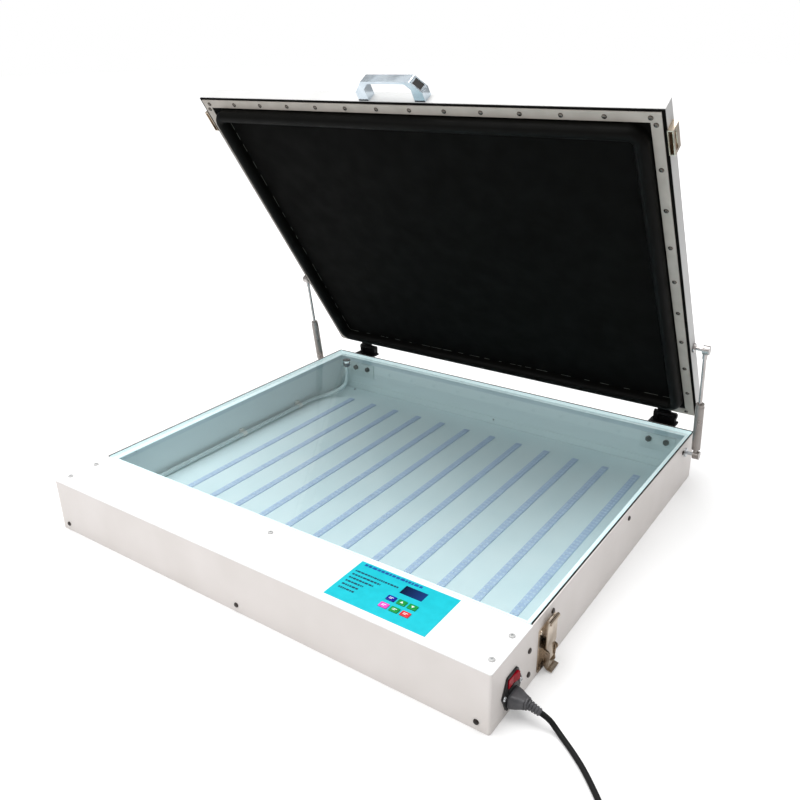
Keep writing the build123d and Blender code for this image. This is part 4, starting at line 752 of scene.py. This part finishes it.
fasteners = {
    "caseSide": 0.41, "caseFront": -0.375, "caseBack": 0.375, "rim": 0.09,
    "sideScrews": [(-0.279, 0.0565), (-0.279, 0.0195), (-0.2155, 0.0754), (0.0498, 0.0754),
                   (0.309, 0.0754)],
    "endScrewXs": (-0.392, 0.0, 0.392), "endScrewZ": 0.0123,
    "deckScrews": [(-0.398, -0.3037), (-0.398, -0.3529), (0.398, -0.3037), (0.398, -0.3529),
                   (0.0, -0.2963)],
    "inletScrewYs": (-0.3454, -0.3054), "inletScrewZ": 0.0336, "inletFace": 0.4125,
    "floorScrews": [(-0.362, 0.362), (0.362, 0.362), (-0.362, -0.2425), (0.362, -0.2425)],
    "floorTop": 0.0035,
    # radius and height of each kind of head
    "caseHead": (3.8 * mm, 2.2 * mm), "deckHead": (4.2 * mm, 2.2 * mm),
    "zincHead": (3.2 * mm, 1.9 * mm),
}
panHead = {
    "skirt": 0.3 * mm,      # sunk into the sheet, so that no gap shows
    # shares of the head's radius and height
    "curve": [(1.0, 0.35), (0.93, 0.68), (0.72, 0.93), (0.5, 1.0)],
    "crossLong": 1.05, "crossWide": 0.24, "crossDeep": 0.5 * mm, "crossSink": 0.18 * mm,
    "steps": 28,
}
rivets = {
    "face": 0.0918, "frontY": -0.2633, "backY": 0.3646, "frontCount": 14, "frontPitch": 0.060,
    "sideX": 0.396, "sideFirst": -0.2529, "sideCount": 9, "sidePitch": 0.070,
    # mm: radius and height up the dome and down into its pin hole
    "dome": [(3.6, -0.2), (3.6, 0.3), (3.3, 0.8), (2.6, 1.25), (1.5, 1.55), (0.9, 1.6), (0.8, 1.3),
             (0, 1.3)],
    "steps": 20,
}


def crossHead(radius, height):
    # pan head, and the two dark bars of its cross
    profile = [(radius, -panHead["skirt"])]
    profile += [(radius * out, height * up) for out, up in panHead["curve"]]
    form = turnedForm(profile + [(0, height)], panHead["steps"])
    bar = boxForm((radius * panHead["crossLong"], radius * panHead["crossWide"],
                   panHead["crossDeep"]))
    sink = Matrix.Translation((0, 0, height - panHead["crossSink"]))
    cross = [(*bar, Matrix.Rotation(math.radians(turn), 4, "Z") @ sink) for turn in (0, 90)]
    return form, cross


def screwGroup(name, spots, headSize, headFinish, body, node, crossFinish="inletPlastic"):
    form, cross = crossHead(*headSize)
    heads = [(*form, spot) for spot in spots]
    crosses = [(verts, faces, spot @ turn) for spot in spots for verts, faces, turn in cross]
    piece = meshPiece(name, *gather(heads), finishes[headFinish], body)
    marks = meshPiece(name + "Slots", *gather(crosses), finishes[crossFinish], body, smooth=False)
    if node:
        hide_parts(node)


def makeFasteners():
    side = fasteners["caseSide"]
    black = [facingMatrix((s * side, y, z), (s, 0, 0))
             for s in (-1, 1) for y, z in fasteners["sideScrews"]]
    for y, way in ((fasteners["caseFront"], -1), (fasteners["caseBack"], 1)):
        black += [facingMatrix((x, y, fasteners["endScrewZ"]), (0, way, 0))
                  for x in fasteners["endScrewXs"]]
    screwGroup("caseScrews", black, fasteners["caseHead"], "blackOxide", "case",
               "case_screws")
    # deck screw heads: white, drawn grey as painted shade
    deck = [facingMatrix((x, y, fasteners["rim"]), (0, 0, 1)) for x, y in fasteners["deckScrews"]]
    screwGroup("deckScrews", deck, fasteners["deckHead"], "deckScrew", "case",
               "deck_inlet_floor_screws", "zinc")
    # the inlet's two and the floor plate's four; the deck screws' piece stands for their node too
    zinc = [facingMatrix((fasteners["inletFace"], y, fasteners["inletScrewZ"]), (1, 0, 0))
            for y in fasteners["inletScrewYs"]]
    zinc += [facingMatrix((x, y, fasteners["floorTop"]), (0, 0, 1))
             for x, y in fasteners["floorScrews"]]
    screwGroup("zincScrews", zinc, fasteners["zincHead"], "zinc", "case", None)


def makeRivets():
    dome = turnedForm([(out * mm, up * mm) for out, up in rivets["dome"]], rivets["steps"])
    down = (0, 0, -1)
    z = rivets["face"]
    count = rivets["frontCount"]
    xs = [(i - (count - 1) / 2) * rivets["frontPitch"] for i in range(count)]
    spots = [facingMatrix((x, y, z), down) for x in xs for y in (rivets["frontY"], rivets["backY"])]
    for i in range(rivets["sideCount"]):
        y = rivets["sideFirst"] + i * rivets["sidePitch"]
        spots += [facingMatrix((s * rivets["sideX"], y, z), down) for s in (-1, 1)]
    heads = [(*dome, spot) for spot in spots]
    piece = meshPiece("stripRivets", *gather(heads), finishes["domedRivet"], "lid", openLid)
    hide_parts("strip_rivets")


makeFasteners()
makeRivets()
print("fasteners made")


strips = {
    "count": 12, "pitch": 60.4 * mm, "front": -0.262, "back": 0.3146, "top": 5.1 * mm,
    "chip": (3.6 * mm, 3.0 * mm, 0.75 * mm), "chipBevel": 0.3 * mm, "chipPitch": 9.6 * mm,
    "rowOffset": 2.9 * mm, "firstChip": 8 * mm, "bareEnds": 10 * mm,
}


def makeChips():
    chip = boxForm(strips["chip"], strips["chipBevel"])
    parts = []
    length = strips["back"] - strips["front"]
    rows = int((length - strips["bareEnds"]) / strips["chipPitch"])
    for i in range(strips["count"]):
        x = (i - (strips["count"] - 1) / 2) * strips["pitch"]
        for j in range(rows):
            y = strips["front"] + strips["firstChip"] + j * strips["chipPitch"]
            for side in (-1, 1):
                place = (x + side * strips["rowOffset"], y, strips["top"] + strips["chip"][2] / 2)
                parts.append((*chip, Matrix.Translation(place)))
    piece = meshPiece("lightChips", *gather(parts), finishes["chipWhite"], "case", smooth=False)


makeChips()
print("light chips set")


panel = {
    "top": 90.5, "ink": 0.12,
    "dash": (0.55, 1.7), "space": 0.32,      # in bar heights
    "rules": [      # mm: x, y, length and height of each broken bar that stands for print
        (164.3, -284.3, 93.0, 4.4),
        (161.5, -301.6, 69.5, 3.1), (162.0, -309.6, 46.0, 3.1), (162.5, -317.4, 39.5, 3.1),
        (163.0, -325.4, 28.5, 3.1), (163.3, -333.3, 26.0, 3.1), (163.7, -341.3, 25.0, 3.1),
    ],
    "keyTop": 91.7,
    "keys": [(237.0 + i * 16.4, -325.2 - j * 16.4) for j in (0, 1) for i in (0, 1, 2)],
}
keySign = {      # mm: an arrow on keys 2 and 3, two bars on the others
    "arrowHalf": 2.4, "arrowFoot": 1.6, "arrowTip": 2.2, "arrowInk": 0.1,
    "barStart": 3.2, "barHeight": 0.9, "bars": ((1.1, 6.4), (-1.1, 4.6)),      # lift, length
}


def flatBar(x, y, length, height, z):
    return boxForm((length * mm, height * mm, panel["ink"] * mm)) + (
        Matrix.Translation(((x + length / 2) * mm, y * mm, (z + panel["ink"] / 2) * mm)),)


def makePrint():
    rng = random.Random(11)
    for number, (x, y, length, height) in enumerate(panel["rules"]):
        bars, at = [], x
        while at < x + length - 1:
            dash = min(rng.uniform(*panel["dash"]) * height, x + length - at)
            bars.append(flatBar(at, y, dash, height, panel["top"]))
            at += dash + height * panel["space"]
        ink = "inkBlue" if number == 0 else "inkDark"
        piece = meshPiece(f"panelRule{number}", *gather(bars), finishes[ink], "case", smooth=False)


def makeKeySigns():
    z = panel["keyTop"]
    for number, (x, y) in enumerate(panel["keys"], 1):
        if number in (2, 3):
            way = 1 if number == 2 else -1
            half, foot = keySign["arrowHalf"], y - way * keySign["arrowFoot"]
            face = [(x - half, foot), (x + half, foot), (x, y + way * keySign["arrowTip"])]
            heights = (z, z + keySign["arrowInk"])
            verts = [(px * mm, py * mm, h * mm) for h in heights for px, py in face]
            faces = [(0, 1, 2), (3, 4, 5), (0, 1, 4, 3), (1, 2, 5, 4), (2, 0, 3, 5)]
        else:
            bars = [flatBar(x - keySign["barStart"], y + lift, length, keySign["barHeight"], z)
                    for lift, length in keySign["bars"]]
            verts, faces = gather(bars)
        piece = meshPiece(f"keySign{number}", verts, faces, finishes["inkWhite"], f"key_{number}",
                          smooth=False)


makePrint()
makeKeySigns()
print("panel printed")


studio = {
    "floorSize": 60.0, "floorDrop": 0.2 * mm, "floorColour": "#E8E8E8",
    "floorGlow": 0.22, "farGlow": 0.7, "glowFrom": 0.7, "glowTo": 2.2,      # distances in metres
    "worldStrength": 0.56, "glossStrength": 0.4,
    "lamps": (      # name, place, size in metres, watts
        ("topLight", (-0.2, 0.1, 3.0), 2.6, 88.0),
        ("keyLight", (-1.2, -2.4, 2.2), 1.8, 22.0),
    ),
    "lampAim": (0, 0, 0.2),
}


def makeStage():
    half = studio["floorSize"] / 2
    verts = [(-half, -half, 0), (half, -half, 0), (half, half, 0), (-half, half, 0)]
    mesh = bpy.data.meshes.new("studioFloor")
    mesh.from_pydata(verts, [], [(0, 1, 2, 3)])
    floor = bpy.data.objects.new("studioFloor", mesh)
    floor.location.z = -studio["floorDrop"]
    bpy.context.collection.objects.link(floor)
    # matt white paper; only the camera sees its glow, which leaves the contact shadow
    material, tree, shader, place = newSurface("studioPaper", studio["floorColour"], 0.9)
    shader.inputs["Emission Color"].default_value = (1, 1, 1, 1)
    seen = addNode(tree, "ShaderNodeLightPath").outputs["Is Camera Ray"]
    away = addNode(tree, "ShaderNodeVectorMath", {"operation": "LENGTH"}, {0: place})
    level = addNode(tree, "ShaderNodeMapRange", None, {
        "Value": away.outputs["Value"],
        "From Min": studio["glowFrom"], "From Max": studio["glowTo"],
        "To Min": studio["floorGlow"], "To Max": studio["farGlow"]})
    glow = addNode(tree, "ShaderNodeMath", {"operation": "MULTIPLY"}, {
        0: seen, 1: level.outputs["Result"]})
    tree.links.new(glow.outputs[0], shader.inputs["Emission Strength"])
    mesh.materials.append(material)


def makeLights():
    world = bpy.data.worlds.new("studioWorld")
    bpy.context.scene.world = world
    world.use_nodes = True
    tree = world.node_tree
    back = tree.nodes["Background"]
    back.inputs["Color"].default_value = (1, 1, 1, 1)
    ray = addNode(tree, "ShaderNodeLightPath")
    mirrored = addNode(tree, "ShaderNodeMapRange", None, {
        "Value": ray.outputs["Is Glossy Ray"],
        "To Min": studio["worldStrength"], "To Max": studio["glossStrength"]})
    level = addNode(tree, "ShaderNodeMapRange", None, {
        "Value": ray.outputs["Is Camera Ray"],
        "To Min": mirrored.outputs["Result"], "To Max": 1.0})
    tree.links.new(level.outputs["Result"], back.inputs["Strength"])
    for name, place, size, power in studio["lamps"]:
        data = bpy.data.lights.new(name, "AREA")
        data.size = size
        data.energy = power
        lamp = bpy.data.objects.new(name, data)
        lamp.matrix_world = facingMatrix(place, Vector(place) - Vector(studio["lampAim"]))
        bpy.context.collection.objects.link(lamp)


makeStage()
makeLights()
bpy.context.scene.view_settings.view_transform = "Standard"
print("stage lit")
